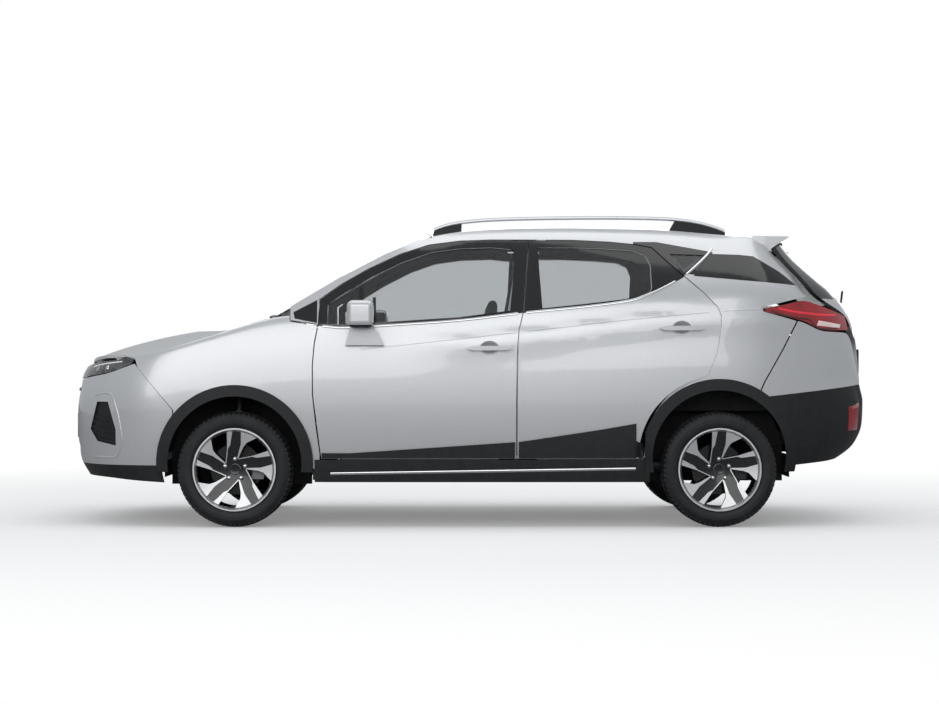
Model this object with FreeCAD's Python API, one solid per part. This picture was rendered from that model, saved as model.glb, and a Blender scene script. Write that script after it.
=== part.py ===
import FreeCAD, Part
import math
import os

# A five-door compact crossover, built as separate solids at real size.
# Frame: +X runs to the rear, +Y to the car's right, +Z up, millimetres.
# The origin lies on the ground at the middle of the overall length.

os.makedirs("parts", exist_ok=True)
Vec = FreeCAD.Vector

# main sizes
LENGTH = 4500.0
HEIGHT = 1720.0
WHEELBASE = 2640.0
FRONT_OVERHANG = 965.0
FRONT_AXLE_X = FRONT_OVERHANG - LENGTH / 2
REAR_AXLE_X = FRONT_AXLE_X + WHEELBASE
NOSE_X = -LENGTH / 2
TAIL_X = LENGTH / 2

# wheels: a 205 mm wide tyre on a 17 inch rim
TYRE_RADIUS = 314.0
TYRE_WIDTH = 205.0
BEAD_RADIUS = 215.9
FLANGE_RADIUS = 228.0
RIM_WIDTH = 178.0
WHEEL_CENTRE_Y = 778.0
WHEEL_Z = TYRE_RADIUS
SHAFT_RADIUS = 29.0
SHAFT_FIT = 0.3
DISC_RADIUS = 140.0
DISC_THICKNESS = 22.0
BOLT_CIRCLE = 57.15
SPOKE_COUNT = 5

# body
BODY_HALF_WIDTH = 880.0
DOOR_GAP = 6.0
SKIN_FLANGE = 15.0
DOOR_DEPTH = 120.0
FRAME_DEPTH = 45.0
FLANGE_STEP = 18.0
GLASS_THICKNESS = 5.0
GLASS_SET_BACK = 5.0
FENDER_SKIN = 6.0
ARCH_RADIUS = 400.0
ARCH_INNER = 366.0
ARCH_OUTER = 428.0
FRONT_ARCH_Z = 347.0
REAR_ARCH_Z = 380.0
LINER_RADIUS = 392.0
LINER_THICKNESS = 5.0
CLAD_THICKNESS = 12.0
SILL_BOTTOM_Z = 245.0
DOOR_BOTTOM_Z = 375.0
ROOF_THICKNESS = 12.0
RAIL_Y = 515.0

# fits
PART_GAP = 0.5
SEAT_FIT = 0.4
PANEL_GAP = 5.0

# turning axes of doors, bonnet and tailgate
DOOR_HINGE_FRONT_X = -790.0
DOOR_HINGE_REAR_X = 290.0
DOOR_HINGE_Y = 864.0
BONNET_HINGE_X = -1130.0
BONNET_HINGE_Z = 1128.0
TAILGATE_HINGE_X = 1552.0
TAILGATE_HINGE_Z = 1624.0
PIN_RADIUS = 5.0
PIN_FIT = 0.1
ARM_THICKNESS = 10.0
PIN_LENGTH = 34.0


def clamp(value, low=0.0, high=1.0):
    return max(low, min(high, value))


def smooth_step(low, high, value):
    t = clamp((value - low) / (high - low))
    return t * t * (3.0 - 2.0 * t)


def curve(points, x):
    """Value at x of a smooth curve through (x, value) points."""
    if x <= points[0][0]:
        return points[0][1]
    if x >= points[-1][0]:
        return points[-1][1]
    index = 0
    while points[index + 1][0] < x:
        index += 1
    count = len(points)

    def slope(i):
        if i == 0:
            return (points[1][1] - points[0][1]) / (points[1][0] - points[0][0])
        if i == count - 1:
            return (points[-1][1] - points[-2][1]) / (points[-1][0] - points[-2][0])
        before = (points[i][1] - points[i - 1][1]) / (points[i][0] - points[i - 1][0])
        after = (points[i + 1][1] - points[i][1]) / (points[i + 1][0] - points[i][0])
        if before * after <= 0:
            return 0.0
        return 2.0 * before * after / (before + after)

    x0, y0 = points[index]
    x1, y1 = points[index + 1]
    span = x1 - x0
    t = (x - x0) / span
    h00 = 2 * t ** 3 - 3 * t ** 2 + 1
    h10 = t ** 3 - 2 * t ** 2 + t
    h01 = -2 * t ** 3 + 3 * t ** 2
    h11 = t ** 3 - t ** 2
    return h00 * y0 + h10 * span * slope(index) + h01 * y1 + h11 * span * slope(index + 1)


# body surfaces
# height of the belt line, where the side turns in towards the glass
BELT = [(-2250, 880), (-1840, 905), (-1500, 985), (-1200, 1050), (-840, 1095), (-400, 1104),
        (-60, 1128), (280, 1168), (860, 1228), (1400, 1280), (2250, 1330)]
# top of the front wing, and middle line of the bonnet
WING_TOP = [(-2200, 872), (-1840, 925), (-1600, 992), (-1400, 1052), (-1200, 1112), (-1050, 1152)]
BONNET_MIDDLE = [(-2205, 872), (-2160, 918), (-2050, 962), (-1880, 1018), (-1650, 1068), (-1430, 1100),
                 (-1200, 1128), (-1050, 1140)]
# middle line of the roof, and the fall of its edge
ROOF_MIDDLE = [(-300, 1650), (0, 1676), (505, 1690), (1010, 1680), (1300, 1657), (1600, 1628), (1800, 1604)]
# front and rear ends of the body on the middle plane, by height
NOSE_PROFILE = [(200, -2120), (260, -2175), (384, -2240), (545, -2250), (700, -2245), (812, -2225),
                (880, -2190), (940, -2110), (1200, -1900)]
TAIL_PROFILE = [(300, 1990), (349, 2080), (427, 2190), (555, 2245), (694, 2250), (756, 2232),
                (950, 2215), (1100, 2195), (1170, 2170), (1255, 2110), (1365, 2000), (1461, 1885),
                (1540, 1815), (1700, 1740)]
FRONT_CURVE_START = -1550.0
REAR_CURVE_START = 1450.0
PLAN_POWER_X = 2.5
PLAN_POWER_Y = 3.3
# half width of the body where the roof begins, and the height of that edge
ROOF_EDGE_HALF = [(-1100, 612), (-200, 606), (500, 604), (1300, 590), (1800, 566)]
ROOF_EDGE_Z = 1640.0
TUMBLE_POWER = 1.15
# side view line where roof and body side meet, and the roll of the side into the roof
TOP_EDGE = [(-985, 1190), (-720, 1352), (-480, 1482), (-300, 1566), (-60, 1624), (240, 1641), (500, 1645),
            (1010, 1636), (1300, 1615), (1560, 1584), (1640, 1548), (1735, 1442), (1810, 1340)]
ROLL_HEIGHT = 52.0
ROLL_IN = 34.0
CREASE = [(-500, 1000), (-58, 1030), (280, 1060), (1360, 1172), (1800, 1180)]


def base_half_width(x, z):
    """Half width of the body side at (x, z), before nose and tail are closed."""
    plan = BODY_HALF_WIDTH - 20.0 * ((x - 50.0) / 1700.0) ** 2
    belt = curve(BELT, x)
    tuck = 0.0
    if z < 640.0:
        tuck = 30.0 * ((640.0 - z) / 400.0) ** 2
    if z > 640.0:
        tuck = 26.0 * (clamp((z - 640.0) / (belt - 640.0)) ** 2)
    crease_height = curve(CREASE, x)
    crease_depth = 12.0 * smooth_step(-500, 0, x)
    tuck += crease_depth * smooth_step(crease_height - 6, crease_height + 34, z)
    tuck -= crease_depth * 0.6 * smooth_step(crease_height - 160, crease_height - 6, z)
    if z > belt:
        drop = plan - tuck - curve(ROOF_EDGE_HALF, x)
        tuck += drop * ((z - belt) / (ROOF_EDGE_Z - belt)) ** TUMBLE_POWER
        above = clamp((z - curve(TOP_EDGE, x) + ROLL_HEIGHT) / ROLL_HEIGHT, 0.0, 1.4)
        fade = smooth_step(-420, -180, x) * (1.0 - smooth_step(1420, 1560, x))
        tuck += ROLL_IN * above ** 2 * fade
    return plan - tuck


def plan_factor(t):
    """Share of the half width left at fraction t of the rounded end."""
    return (1.0 - clamp(t) ** PLAN_POWER_X) ** (1.0 / PLAN_POWER_Y)


def plan_fraction(share):
    return (1.0 - clamp(share) ** PLAN_POWER_Y) ** (1.0 / PLAN_POWER_X)


def half_width(x, z):
    """Half width of the closed body at (x, z)."""
    width = base_half_width(x, z)
    if x < FRONT_CURVE_START:
        nose = curve(NOSE_PROFILE, z)
        width *= plan_factor((FRONT_CURVE_START - x) / (FRONT_CURVE_START - nose))
    if x > REAR_CURVE_START:
        tail = curve(TAIL_PROFILE, z)
        width *= plan_factor((x - REAR_CURVE_START) / (tail - REAR_CURVE_START))
    return width


def bonnet_height(x, y):
    middle = curve(BONNET_MIDDLE, x)
    edge = curve(WING_TOP, x)
    return middle + (edge - middle) * (abs(y) / 800.0) ** 2.6


def edge_half(x):
    return base_half_width(x, curve(TOP_EDGE, x))


def roof_height(x, y):
    middle = curve(ROOF_MIDDLE, x)
    edge = curve(TOP_EDGE, min(x, 1560.0))
    if x > 1560.0:
        edge = middle - 44.0
    return middle - (middle - edge) * min(abs(y) / edge_half(x), 1.1) ** 2.4


# helpers
def interpolated_face(rows):
    """Cubic surface that follows a grid of points, which serve as its poles."""
    surface = Part.BSplineSurface()
    knots = []
    mults = []
    for count in (len(rows), len(rows[0])):
        spans = count - 3
        knots.append([float(i) for i in range(spans + 1)])
        mults.append([4] + [1] * (spans - 1) + [4])
    surface.buildFromPolesMultsKnots(rows, mults[0], mults[1], knots[0], knots[1], False, False, 3, 3)
    return surface


def thick_skin(outer_rows, inner_rows):
    """Closed solid between two point grids of equal size."""
    faces = []
    outer = interpolated_face(outer_rows)
    inner = interpolated_face(inner_rows)
    faces.append(outer.toShape())
    faces.append(inner.toShape())
    for u_value, v_value in ((0, None), (1, None), (None, 0), (None, 1)):
        edges = []
        for surface in (outer, inner):
            u0, u1, v0, v1 = surface.bounds()
            if u_value is not None:
                line = surface.uIso(u0 if u_value == 0 else u1)
            else:
                line = surface.vIso(v0 if v_value == 0 else v1)
            edges.append(line.toShape())
        faces.append(Part.makeRuledSurface(edges[0], edges[1]))
    shell = Part.makeShell(faces)
    shell.sewShape()
    solid = Part.makeSolid(shell)
    if solid.Volume < 0:
        solid.reverse()
    return solid


def spread(low, high, count):
    return [low + (high - low) * i / (count - 1) for i in range(count)]


def side_skin(x_values, z_values, outer_depth, inner_depth):
    """Left side skin between two depths, each a function of (x, z)."""
    outer_rows = []
    inner_rows = []
    for x in x_values:
        outer_rows.append([Vec(x, -(half_width(x, z) - outer_depth(x, z)), z) for z in z_values])
        inner_rows.append([Vec(x, -(half_width(x, z) - inner_depth(x, z)), z) for z in z_values])
    return thick_skin(outer_rows, inner_rows)


SIDE_PART = 0.70


def end_place(c, z, profile, start, grow):
    """Point on a rounded end at height z.

    c runs from 0 where the end starts on the left side, to 1 at the corner,
    to 2 on the middle plane, and on to 4 on the right side.
    """
    right = c > 2.0
    if right:
        c = 4.0 - c
    tip = curve(profile, z)
    direction = 1.0 if tip > start else -1.0

    def place(value):
        corner_share = plan_factor(SIDE_PART)
        if value < 1.0:
            t = SIDE_PART * value
            share = plan_factor(t)
        else:
            share = corner_share * (2.0 - value)
            t = plan_fraction(share)
        x = start + (tip - start) * t
        reach = start + (tip - start) * min(t, 0.9)
        return x, base_half_width(reach, z) * share

    x, y = place(c)
    if grow:
        ax, ay = place(max(c - 0.03, 0.0))
        bx, by = place(min(c + 0.03, 2.0))
        size = math.hypot(bx - ax, by - ay)
        normal_x = direction * abs(by - ay) / size
        normal_y = abs(bx - ax) / size
        x += normal_x * grow
        y += normal_y * grow if c < 1.99 else 0.0
    return Vec(x, y if right else -y, z)


def end_panel(c_values, low, high, rows, profile, start, outer_grow, inner_grow):
    """Closed panel on a rounded end between two heights given along c."""
    outer_rows = []
    inner_rows = []
    for c in c_values:
        levels = spread(low(c), high(c), rows)
        outer_rows.append([end_place(c, z, profile, start, outer_grow) for z in levels])
        inner_rows.append([end_place(c, z, profile, start, inner_grow) for z in levels])
    return thick_skin(outer_rows, inner_rows)


def along(points):
    """Height along c, the same on both sides of the middle plane."""
    return lambda c: curve(points, c if c <= 2.0 else 4.0 - c)


def outline_wire(points, plane, level):
    """Closed straight-edged wire; plane 'side' is (x, z), 'plan' is (x, y), 'front' is (y, z)."""
    vectors = []
    for a, b in points:
        if plane == "side":
            vectors.append(Vec(a, level, b))
        elif plane == "plan":
            vectors.append(Vec(a, b, level))
        else:
            vectors.append(Vec(level, a, b))
    return Part.makePolygon(vectors + [vectors[0]])


DIRECTIONS = {"side": Vec(0, 1, 0), "plan": Vec(0, 0, 1), "front": Vec(1, 0, 0)}


def plate(points, plane, low, high, holes=()):
    """Flat outline, less its holes, pushed through from low to high."""
    face = Part.Face(outline_wire(points, plane, low))
    for hole in holes:
        face = face.cut(Part.Face(outline_wire(hole, plane, low)))
    return face.extrude(DIRECTIONS[plane] * (high - low))


def largest(shape):
    return max(shape.Solids, key=lambda solid: solid.Volume)


def end_on(block, target, inside, away):
    """What is left of a block that ends on a target, moved off it by the seat's fit.

    inside is a point on the side that is kept, and away the direction off the target.
    """
    rest = block.cut(target)
    kept = min(rest.Solids, key=lambda solid: solid.CenterOfMass.distanceToPoint(Vec(*inside)))
    return kept.translated(Vec(*away) * SEAT_FIT)


def block_on_side(x0, x1, near, far, z0, z1, side):
    """Box from y = near to y = far on the left (side -1) or right (side 1)."""
    low, high = sorted((side * near, side * far))
    return box(x0, x1, low, high, z0, z1)


def offset_outline(points, distance):
    """Moves a closed outline outwards (positive) or inwards with sharp corners."""
    area = 0.0
    count = len(points)
    for i in range(count):
        x0, y0 = points[i]
        x1, y1 = points[(i + 1) % count]
        area += x0 * y1 - x1 * y0
    turn = 1.0 if area > 0 else -1.0
    moved = []
    for i in range(count):
        x0, y0 = points[i - 1]
        x1, y1 = points[i]
        x2, y2 = points[(i + 1) % count]
        ux, uy = x1 - x0, y1 - y0
        vx, vy = x2 - x1, y2 - y1
        ul = math.hypot(ux, uy)
        vl = math.hypot(vx, vy)
        n1 = (uy / ul * turn, -ux / ul * turn)
        n2 = (vy / vl * turn, -vx / vl * turn)
        cos_half = n1[0] * n2[0] + n1[1] * n2[1]
        scale = distance / max(1.0 + cos_half, 0.35)
        moved.append((x1 + (n1[0] + n2[0]) * scale, y1 + (n1[1] + n2[1]) * scale))
    return moved


def box(x0, x1, y0, y1, z0, z1):
    return Part.makeBox(x1 - x0, y1 - y0, z1 - z0, Vec(x0, y0, z0))


def cylinder_y(x, z, radius, y0, y1):
    return Part.makeCylinder(radius, y1 - y0, Vec(x, y0, z), Vec(0, 1, 0))


def rod(a, b, radius):
    a = Vec(*a)
    b = Vec(*b)
    return Part.makeCylinder(radius, (b - a).Length, a, b - a)


def mirrored(shape):
    return shape.mirror(Vec(0, 0, 0), Vec(0, 1, 0))


def union(shapes):
    result = shapes[0]
    if len(shapes) > 1:
        result = shapes[0].multiFuse(shapes[1:])
    return result.removeSplitter()


def compound(shapes):
    solids = []
    for shape in shapes:
        solids.extend(shape.Solids)
    return Part.makeCompound(solids)


def save(name, shape):
    solids = shape.Solids
    total = sum(s.Volume for s in solids)
    kept = [s for s in solids if s.Volume > 0.001 * total]
    result = kept[0] if len(kept) == 1 else Part.makeCompound(kept)
    bounds = result.optimalBoundingBox(False, False)
    print("%-20s solids %2d valid %s volume %.1f dm3 x %.0f..%.0f y %.0f..%.0f z %.0f..%.0f" % (
        name, len(kept), result.isValid(), result.Volume / 1e6,
        bounds.XMin, bounds.XMax, bounds.YMin, bounds.YMax, bounds.ZMin, bounds.ZMax))
    result.exportStep("parts/" + name + ".step")
    return result


# side view outlines of the left side, as (x, z)
FRONT_DOOR = [(-858, 880), (-848, 1000), (-828, 1101), (-824, 1240), (-700, 1328), (-560, 1410),
              (-390, 1492), (-230, 1546), (-60, 1568), (120, 1574), (320, 1573), (305, 1400), (285, 1172),
              (262, 1080), (254, 1000), (247, 700), (246, DOOR_BOTTOM_Z), (-812, DOOR_BOTTOM_Z),
              (-836, 560), (-856, 720)]
REAR_DOOR = [(326, 1573), (560, 1572), (760, 1562), (920, 1546), (1000, 1530), (1090, 1440),
             (1170, 1366), (1270, 1276), (1345, 1196), (1362, 1150), (1358, 1080), (1340, 960), (1290, 830),
             (1180, 778), (1085, 712), (1015, 620), (972, 500), (955, DOOR_BOTTOM_Z),
             (255, DOOR_BOTTOM_Z), (256, 700), (260, 1000), (268, 1080), (291, 1172), (311, 1400)]
FRONT_WINDOW = [(-780, 1108), (-700, 1104), (-400, 1122), (-60, 1144), (215, 1180), (232, 1350), (238, 1520),
                (120, 1533), (-60, 1527), (-215, 1506), (-370, 1452), (-540, 1368), (-690, 1278), (-780, 1212)]
REAR_WINDOW = [(392, 1192), (620, 1216), (840, 1242), (975, 1270), (990, 1300), (990, 1430), (965, 1484),
               (900, 1512), (760, 1524), (560, 1532), (372, 1532), (378, 1400)]
# what lies above the belt: each door's black window frame
ABOVE_BELT = [(-900, 1112), (-836, 1096), (-673, 1086), (-400, 1102), (-58, 1126), (280, 1166), (620, 1200),
              (857, 1230), (1042, 1292), (1162, 1361), (1400, 1560), (1400, 1700), (-900, 1700)]

# between the doors: what each inner layer leaves free for the centre pillar
PILLAR_FRONT_SIDE = [(184, 300), (184, 900), (196, 1180), (256, 1620), (500, 1620), (500, 300)]
PILLAR_REAR_SIDE = [(100, 300), (330, 300), (330, 1000), (342, 1172), (404, 1620), (100, 1620)]
PILLAR = [(192, 369), (192, 900), (204, 1180), (246, 1420), (270, 1600), (372, 1600), (356, 1420), (330, 1172),
          (322, 1080), (318, 900), (318, 369)]
PILLAR_OUT = 64.0
PILLAR_IN = 108.0
HINGE_POCKET = [(-826, 369), (-850, 560), (-869, 720), (-871, 880), (-861, 1000), (-840, 1101), (-836, 1180),
                (-834, 1262), (-700, 1262), (-700, 369)]

LEFT_OUT = -1100.0
LEFT_IN = -250.0

DOOR_LEVELS = [DOOR_BOTTOM_Z - 60, DOOR_BOTTOM_Z - 20, 480, 600, 720, 830, 920, 980, 1020, 1060, 1100, 1140, 1180,
               1240, 1320, 1400, 1480, 1545, 1585, 1610, 1635]
SIDE_LEVELS = [180, 240, 340, 460, 580, 700, 820, 900, 960, 1020, 1080, 1140, 1200, 1280, 1380, 1480, 1545, 1585,
               1610, 1635, 1660, 1690]


def door_depth(x, z):
    belt = curve(BELT, x)
    return DOOR_DEPTH + (FRAME_DEPTH - DOOR_DEPTH) * smooth_step(belt - 70, belt - 5, z)


def constant_depth(value):
    return lambda x, z: value


def make_door(outline, window, pillar_side, x_low, x_high):
    """One left door: an outer layer with its flange and a deeper inner layer."""
    x_values = spread(x_low, x_high, 11)
    outer = side_skin(x_values, DOOR_LEVELS, constant_depth(0.0), constant_depth(SKIN_FLANGE))
    inner = side_skin(x_values, DOOR_LEVELS, constant_depth(SKIN_FLANGE - 3.0), door_depth)
    outer_part = outer.common(plate(outline, "side", LEFT_OUT, LEFT_IN, [window]))
    inner_outline = offset_outline(outline, -FLANGE_STEP)
    inner_part = inner.common(plate(inner_outline, "side", LEFT_OUT, LEFT_IN, [window, pillar_side]))
    return union([outer_part, inner_part])


def make_side_glass(window, x_low, x_high):
    x_values = spread(x_low, x_high, 9)
    z_values = spread(1060, 1600, 9)
    skin = side_skin(x_values, z_values, constant_depth(GLASS_SET_BACK),
                     constant_depth(GLASS_SET_BACK + GLASS_THICKNESS))
    return skin.common(plate(offset_outline(window, -PART_GAP), "side", LEFT_OUT, LEFT_IN))


# door handles: a pull bar on two feet over a shallow cup, by its middle (x, z)
FRONT_HANDLE = (102.0, 975.0)
REAR_HANDLE = (1150.0, 1084.0)
HANDLE_LENGTH = 236.0
HANDLE_HEIGHT = 26.0
HANDLE_STAND = 34.0
HANDLE_THICKNESS = 13.0
CUP_RADII = (52.0, 17.0, 40.0)


def handle_outline(x, z, length, height):
    half = length / 2
    rise = height / 2
    return [(x - half, z - rise * 0.3), (x - half * 0.8, z - rise), (x + half * 0.8, z - rise * 0.9),
            (x + half, z - rise * 0.2), (x + half, z + rise * 0.4), (x + half * 0.8, z + rise),
            (x - half * 0.8, z + rise * 0.8), (x - half, z + rise * 0.3)]


def add_handle(door, middle):
    x, z = middle
    x_values = spread(x - 200, x + 200, 5)
    z_values = spread(z - 60, z + 60, 5)
    bar_layer = side_skin(x_values, z_values, constant_depth(-HANDLE_STAND),
                          constant_depth(HANDLE_THICKNESS - HANDLE_STAND))
    bar = bar_layer.common(plate(handle_outline(x, z, HANDLE_LENGTH, HANDLE_HEIGHT), "side", LEFT_OUT, LEFT_IN))
    foot_layer = side_skin(x_values, z_values, constant_depth(HANDLE_THICKNESS - HANDLE_STAND - 1.0),
                           constant_depth(2.0))
    parts = [door, bar]
    for side in (-1, 1):
        foot_x = x + side * (HANDLE_LENGTH / 2 - 26.0)
        foot = handle_outline(foot_x, z, 44.0, HANDLE_HEIGHT - 4.0)
        parts.append(foot_layer.common(plate(foot, "side", LEFT_OUT, LEFT_IN)))
    cup = Part.makeSphere(1.0)
    matrix = FreeCAD.Matrix()
    matrix.scale(*CUP_RADII)
    cup = cup.transformGeometry(matrix)
    cup.translate(Vec(x, -half_width(x, z), z))
    parts[0] = door.cut(cup)
    return union(parts)


HINGE_LEVELS = (560.0, 690.0)
KNUCKLE_CLEARANCE = 5.0
ARM_HALF = 6.0


def pin_at(x, z):
    return Part.makeCylinder(PIN_RADIUS, ARM_THICKNESS + PIN_LENGTH, Vec(x, -DOOR_HINGE_Y, z))


def door_hinge_arms(x, outline):
    """Fixed hinge arms with their upright pins, one at each hinge level."""
    arms = []
    for z in HINGE_LEVELS:
        moved = [(px + x, py) for px, py in outline]
        arm = plate(moved, "plan", z, z + ARM_THICKNESS)
        end = Part.makeCylinder(ARM_HALF, ARM_THICKNESS, Vec(x, -DOOR_HINGE_Y, z))
        arms.append(union([arm, end, pin_at(x, z)]))
    return arms


def fit_door_hinges(door, x, pocket_front, pocket_rear):
    """Cuts the arms' pockets from a door and bores it for the pins."""
    top = ARM_THICKNESS + KNUCKLE_CLEARANCE
    for z in HINGE_LEVELS:
        knuckle = box(x - 15, x + 15, -DOOR_HINGE_Y - 8, -DOOR_HINGE_Y + 14, z + top, z + ARM_THICKNESS + PIN_LENGTH + 6)
        door = union([door, knuckle])
        pocket = box(x + pocket_front, x + pocket_rear, -DOOR_HINGE_Y + 3, -730, z - KNUCKLE_CLEARANCE, z + top)
        swing = box(x - 24, x + 12, -DOOR_HINGE_Y - 5, -DOOR_HINGE_Y + 20, z - KNUCKLE_CLEARANCE, z + top)
        turn = Part.makeCylinder(ARM_HALF + 1.5, top + KNUCKLE_CLEARANCE, Vec(x, -DOOR_HINGE_Y, z - KNUCKLE_CLEARANCE))
        bore = Part.makeCylinder(PIN_RADIUS + PIN_FIT, PIN_LENGTH + 2, Vec(x, -DOOR_HINGE_Y, z + ARM_THICKNESS))
        door = door.cut(pocket).cut(swing).cut(turn).cut(bore)
    return door


FRONT_ARM = [(-ARM_HALF, -DOOR_HINGE_Y), (ARM_HALF, -DOOR_HINGE_Y), (ARM_HALF, -774), (-88, -774), (-88, -806),
             (-56, -806), (-40, -790), (-ARM_HALF, -790)]
REAR_ARM = [(-ARM_HALF, -DOOR_HINGE_Y), (ARM_HALF, -DOOR_HINGE_Y), (ARM_HALF, -812), (-ARM_HALF, -812)]

# doors
front_door = make_door(FRONT_DOOR, FRONT_WINDOW, PILLAR_FRONT_SIDE, -900, 360)
rear_door = make_door(REAR_DOOR, REAR_WINDOW, PILLAR_REAR_SIDE, 220, 1400)
rear_door = rear_door.cut(cylinder_y(REAR_AXLE_X, REAR_ARCH_Z, ARCH_OUTER + 14.0, LEFT_OUT, LEFT_IN))
above_belt = plate(ABOVE_BELT, "side", LEFT_OUT, LEFT_IN)
front_frame = front_door.common(above_belt)
rear_frame = rear_door.common(above_belt)
front_door = add_handle(front_door.cut(above_belt), FRONT_HANDLE)
front_door = fit_door_hinges(front_door, DOOR_HINGE_FRONT_X, -72.0, 26.0)
rear_door = add_handle(rear_door.cut(above_belt), REAR_HANDLE)
rear_door = fit_door_hinges(rear_door, DOOR_HINGE_REAR_X, -30.0, 26.0)
save("door_front_left", front_door)
save("door_front_right", mirrored(front_door))
save("door_rear_left", rear_door)
save("door_rear_right", mirrored(rear_door))
front_glass = make_side_glass(FRONT_WINDOW, -900, 360)
rear_glass = make_side_glass(REAR_WINDOW, 220, 1400)
save("glass_front_left", front_glass)
save("glass_front_right", mirrored(front_glass))
save("glass_rear_left", rear_glass)
save("glass_rear_right", mirrored(rear_glass))

# windscreen and roof
SCREEN_BASE_X = -1062.0
SCREEN_BASE_Z = 1158.0
SCREEN_TOP_X = -262.0
SCREEN_SWELL = 22.0
SCREEN_BASE_HALF = 735.0
SCREEN_TOP_HALF = 570.0
SCREEN_GLASS = 6.0
ROOF_END_X = 1500.0
ROOF_SEAM = 24.0
ROOF_BOW = 48.0


def screen_rows(depth, grow=0.0):
    rows = []
    for u in spread(0.0, 1.0, 7):
        row = []
        for v in spread(-1.0, 1.0, 9):
            half = SCREEN_BASE_HALF + (SCREEN_TOP_HALF - SCREEN_BASE_HALF) * u
            y = v * (half + grow)
            bow = 1.0 - (y / half) ** 2
            low_x = SCREEN_BASE_X - 108.0 * bow
            low_z = SCREEN_BASE_Z - 28.0 * bow
            top_x = SCREEN_TOP_X + 42.0 - ROOF_BOW * bow
            top_z = roof_height(top_x, y / half * SCREEN_TOP_HALF)
            x = low_x + (top_x - low_x) * u
            z = low_z + (top_z - low_z) * u + SCREEN_SWELL * math.sin(math.pi * u)
            row.append(Vec(x + depth * 0.5, y, z - depth * 0.86))
        rows.append(row)
    return rows


def roof_rows(depth, grow=0.0):
    rows = []
    for u in spread(0.0, 1.0, 15):
        row = []
        for v in spread(-1.0, 1.0, 13):
            front = SCREEN_TOP_X + ROOF_BOW * v * v - grow
            x = front + (ROOF_END_X - 30.0 * v * v + grow - front) * u
            y = v * (edge_half(x) - ROOF_SEAM + grow)
            row.append(Vec(x, y, roof_height(x, y) - depth))
        rows.append(row)
    return rows


def make_roof():
    """Roof panel with the bows and headers under it, and the hinge arms of the tailgate."""
    panel = thick_skin(roof_rows(0.0), roof_rows(ROOF_THICKNESS))
    under = thick_skin(roof_rows(ROOF_THICKNESS - 4.0), roof_rows(ROOF_THICKNESS + 22.0))
    bows = [box(SCREEN_TOP_X - 60, SCREEN_TOP_X + 110, -455, 455, 1400, 1800)]
    for x in (300.0, 860.0):
        bows.append(box(x, x + 70, -455, 455, 1400, 1800))
    bows.append(box(ROOF_END_X - 90, ROOF_END_X - 12, -455, 455, 1400, 1800))
    frame = under.common(Part.makeCompound(bows))
    header = box(ROOF_END_X - 74, ROOF_END_X - 14, -420, 420, 1562, 1604)
    return union([panel, frame, header] + tailgate_arms())


TAILGATE_ARM_Y = 124.0
TAILGATE_ARM = [(-4, 4), (4, 4), (4, -62), (-72, -62), (-72, -50), (-4, -50)]


def tailgate_arms():
    arms = []
    for side in (-1, 1):
        low, high = sorted((side * (TAILGATE_ARM_Y - 4), side * (TAILGATE_ARM_Y + 4)))
        outline = [(TAILGATE_HINGE_X + a, TAILGATE_HINGE_Z + b) for a, b in TAILGATE_ARM]
        arm = plate(outline, "side", low, high)
        low, high = sorted((side * TAILGATE_ARM_Y, side * (TAILGATE_ARM_Y + PIN_LENGTH)))
        arms.extend([arm, cylinder_y(TAILGATE_HINGE_X, TAILGATE_HINGE_Z, PIN_RADIUS, low, high)])
    return arms


roof = make_roof()
save("roof_panel", roof)
roof_room = thick_skin(roof_rows(-60.0, 3.0), roof_rows(ROOF_THICKNESS + PART_GAP, 3.0))
screen = thick_skin(screen_rows(0.0), screen_rows(SCREEN_GLASS))
screen_room = thick_skin(screen_rows(-60.0, 3.0), screen_rows(SCREEN_GLASS + PART_GAP, 3.0))

# body sides
UPPER_SIDE = [(x, z + 3 + 9 * (1 - smooth_step(-400, -200, x))) for x, z in TOP_EDGE]
UPPER_SIDE += [(1850, 1262), (1700, 1225), (1588, 1200), (1582, 1180), (1710, 1144), (1782, 1124), (1700, 970),
               (1596, 790), (1562, 712), (1400, 500)]
REAR_INSET = 85.0
SILL_FRONT = [(985, 500), (985, SILL_BOTTOM_Z)]
OUTER_SIDE = UPPER_SIDE + SILL_FRONT + [(-800, SILL_BOTTOM_Z), (-800, 900), (-826, 1108), (-980, 1128)]
INNER_SIDE = [(x - REAR_INSET * smooth_step(1400, 1640, x), z) for x, z in UPPER_SIDE]
INNER_SIDE += SILL_FRONT + [(-850, SILL_BOTTOM_Z), (-880, 560), (-903, 760), (-903, 1010), (-900, 1110),
                            (-985, 1128)]
QUARTER_WINDOW = [(1098, 1496), (1290, 1490), (1172, 1390)]
QUARTER_FLANGE = 14.0
PILLAR_PANEL = [(1318, 1497), (1480, 1492), (1560, 1484), (1700, 1400), (1796, 1322), (1500, 1346), (1222, 1371)]
SAIL_PANEL = [(-968, 1172), (-838, 1240), (-836, 1112), (-960, 1136)]
TRIM_SET_BACK = 1.5
TRIM_THICKNESS = 6.0
SILL_BOX_IN = 735.0


def wheel_cut(x, radius, y0, y1):
    level = FRONT_ARCH_Z if x < 0 else REAR_ARCH_Z
    return cylinder_y(x, level, radius, y0, y1)


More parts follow.
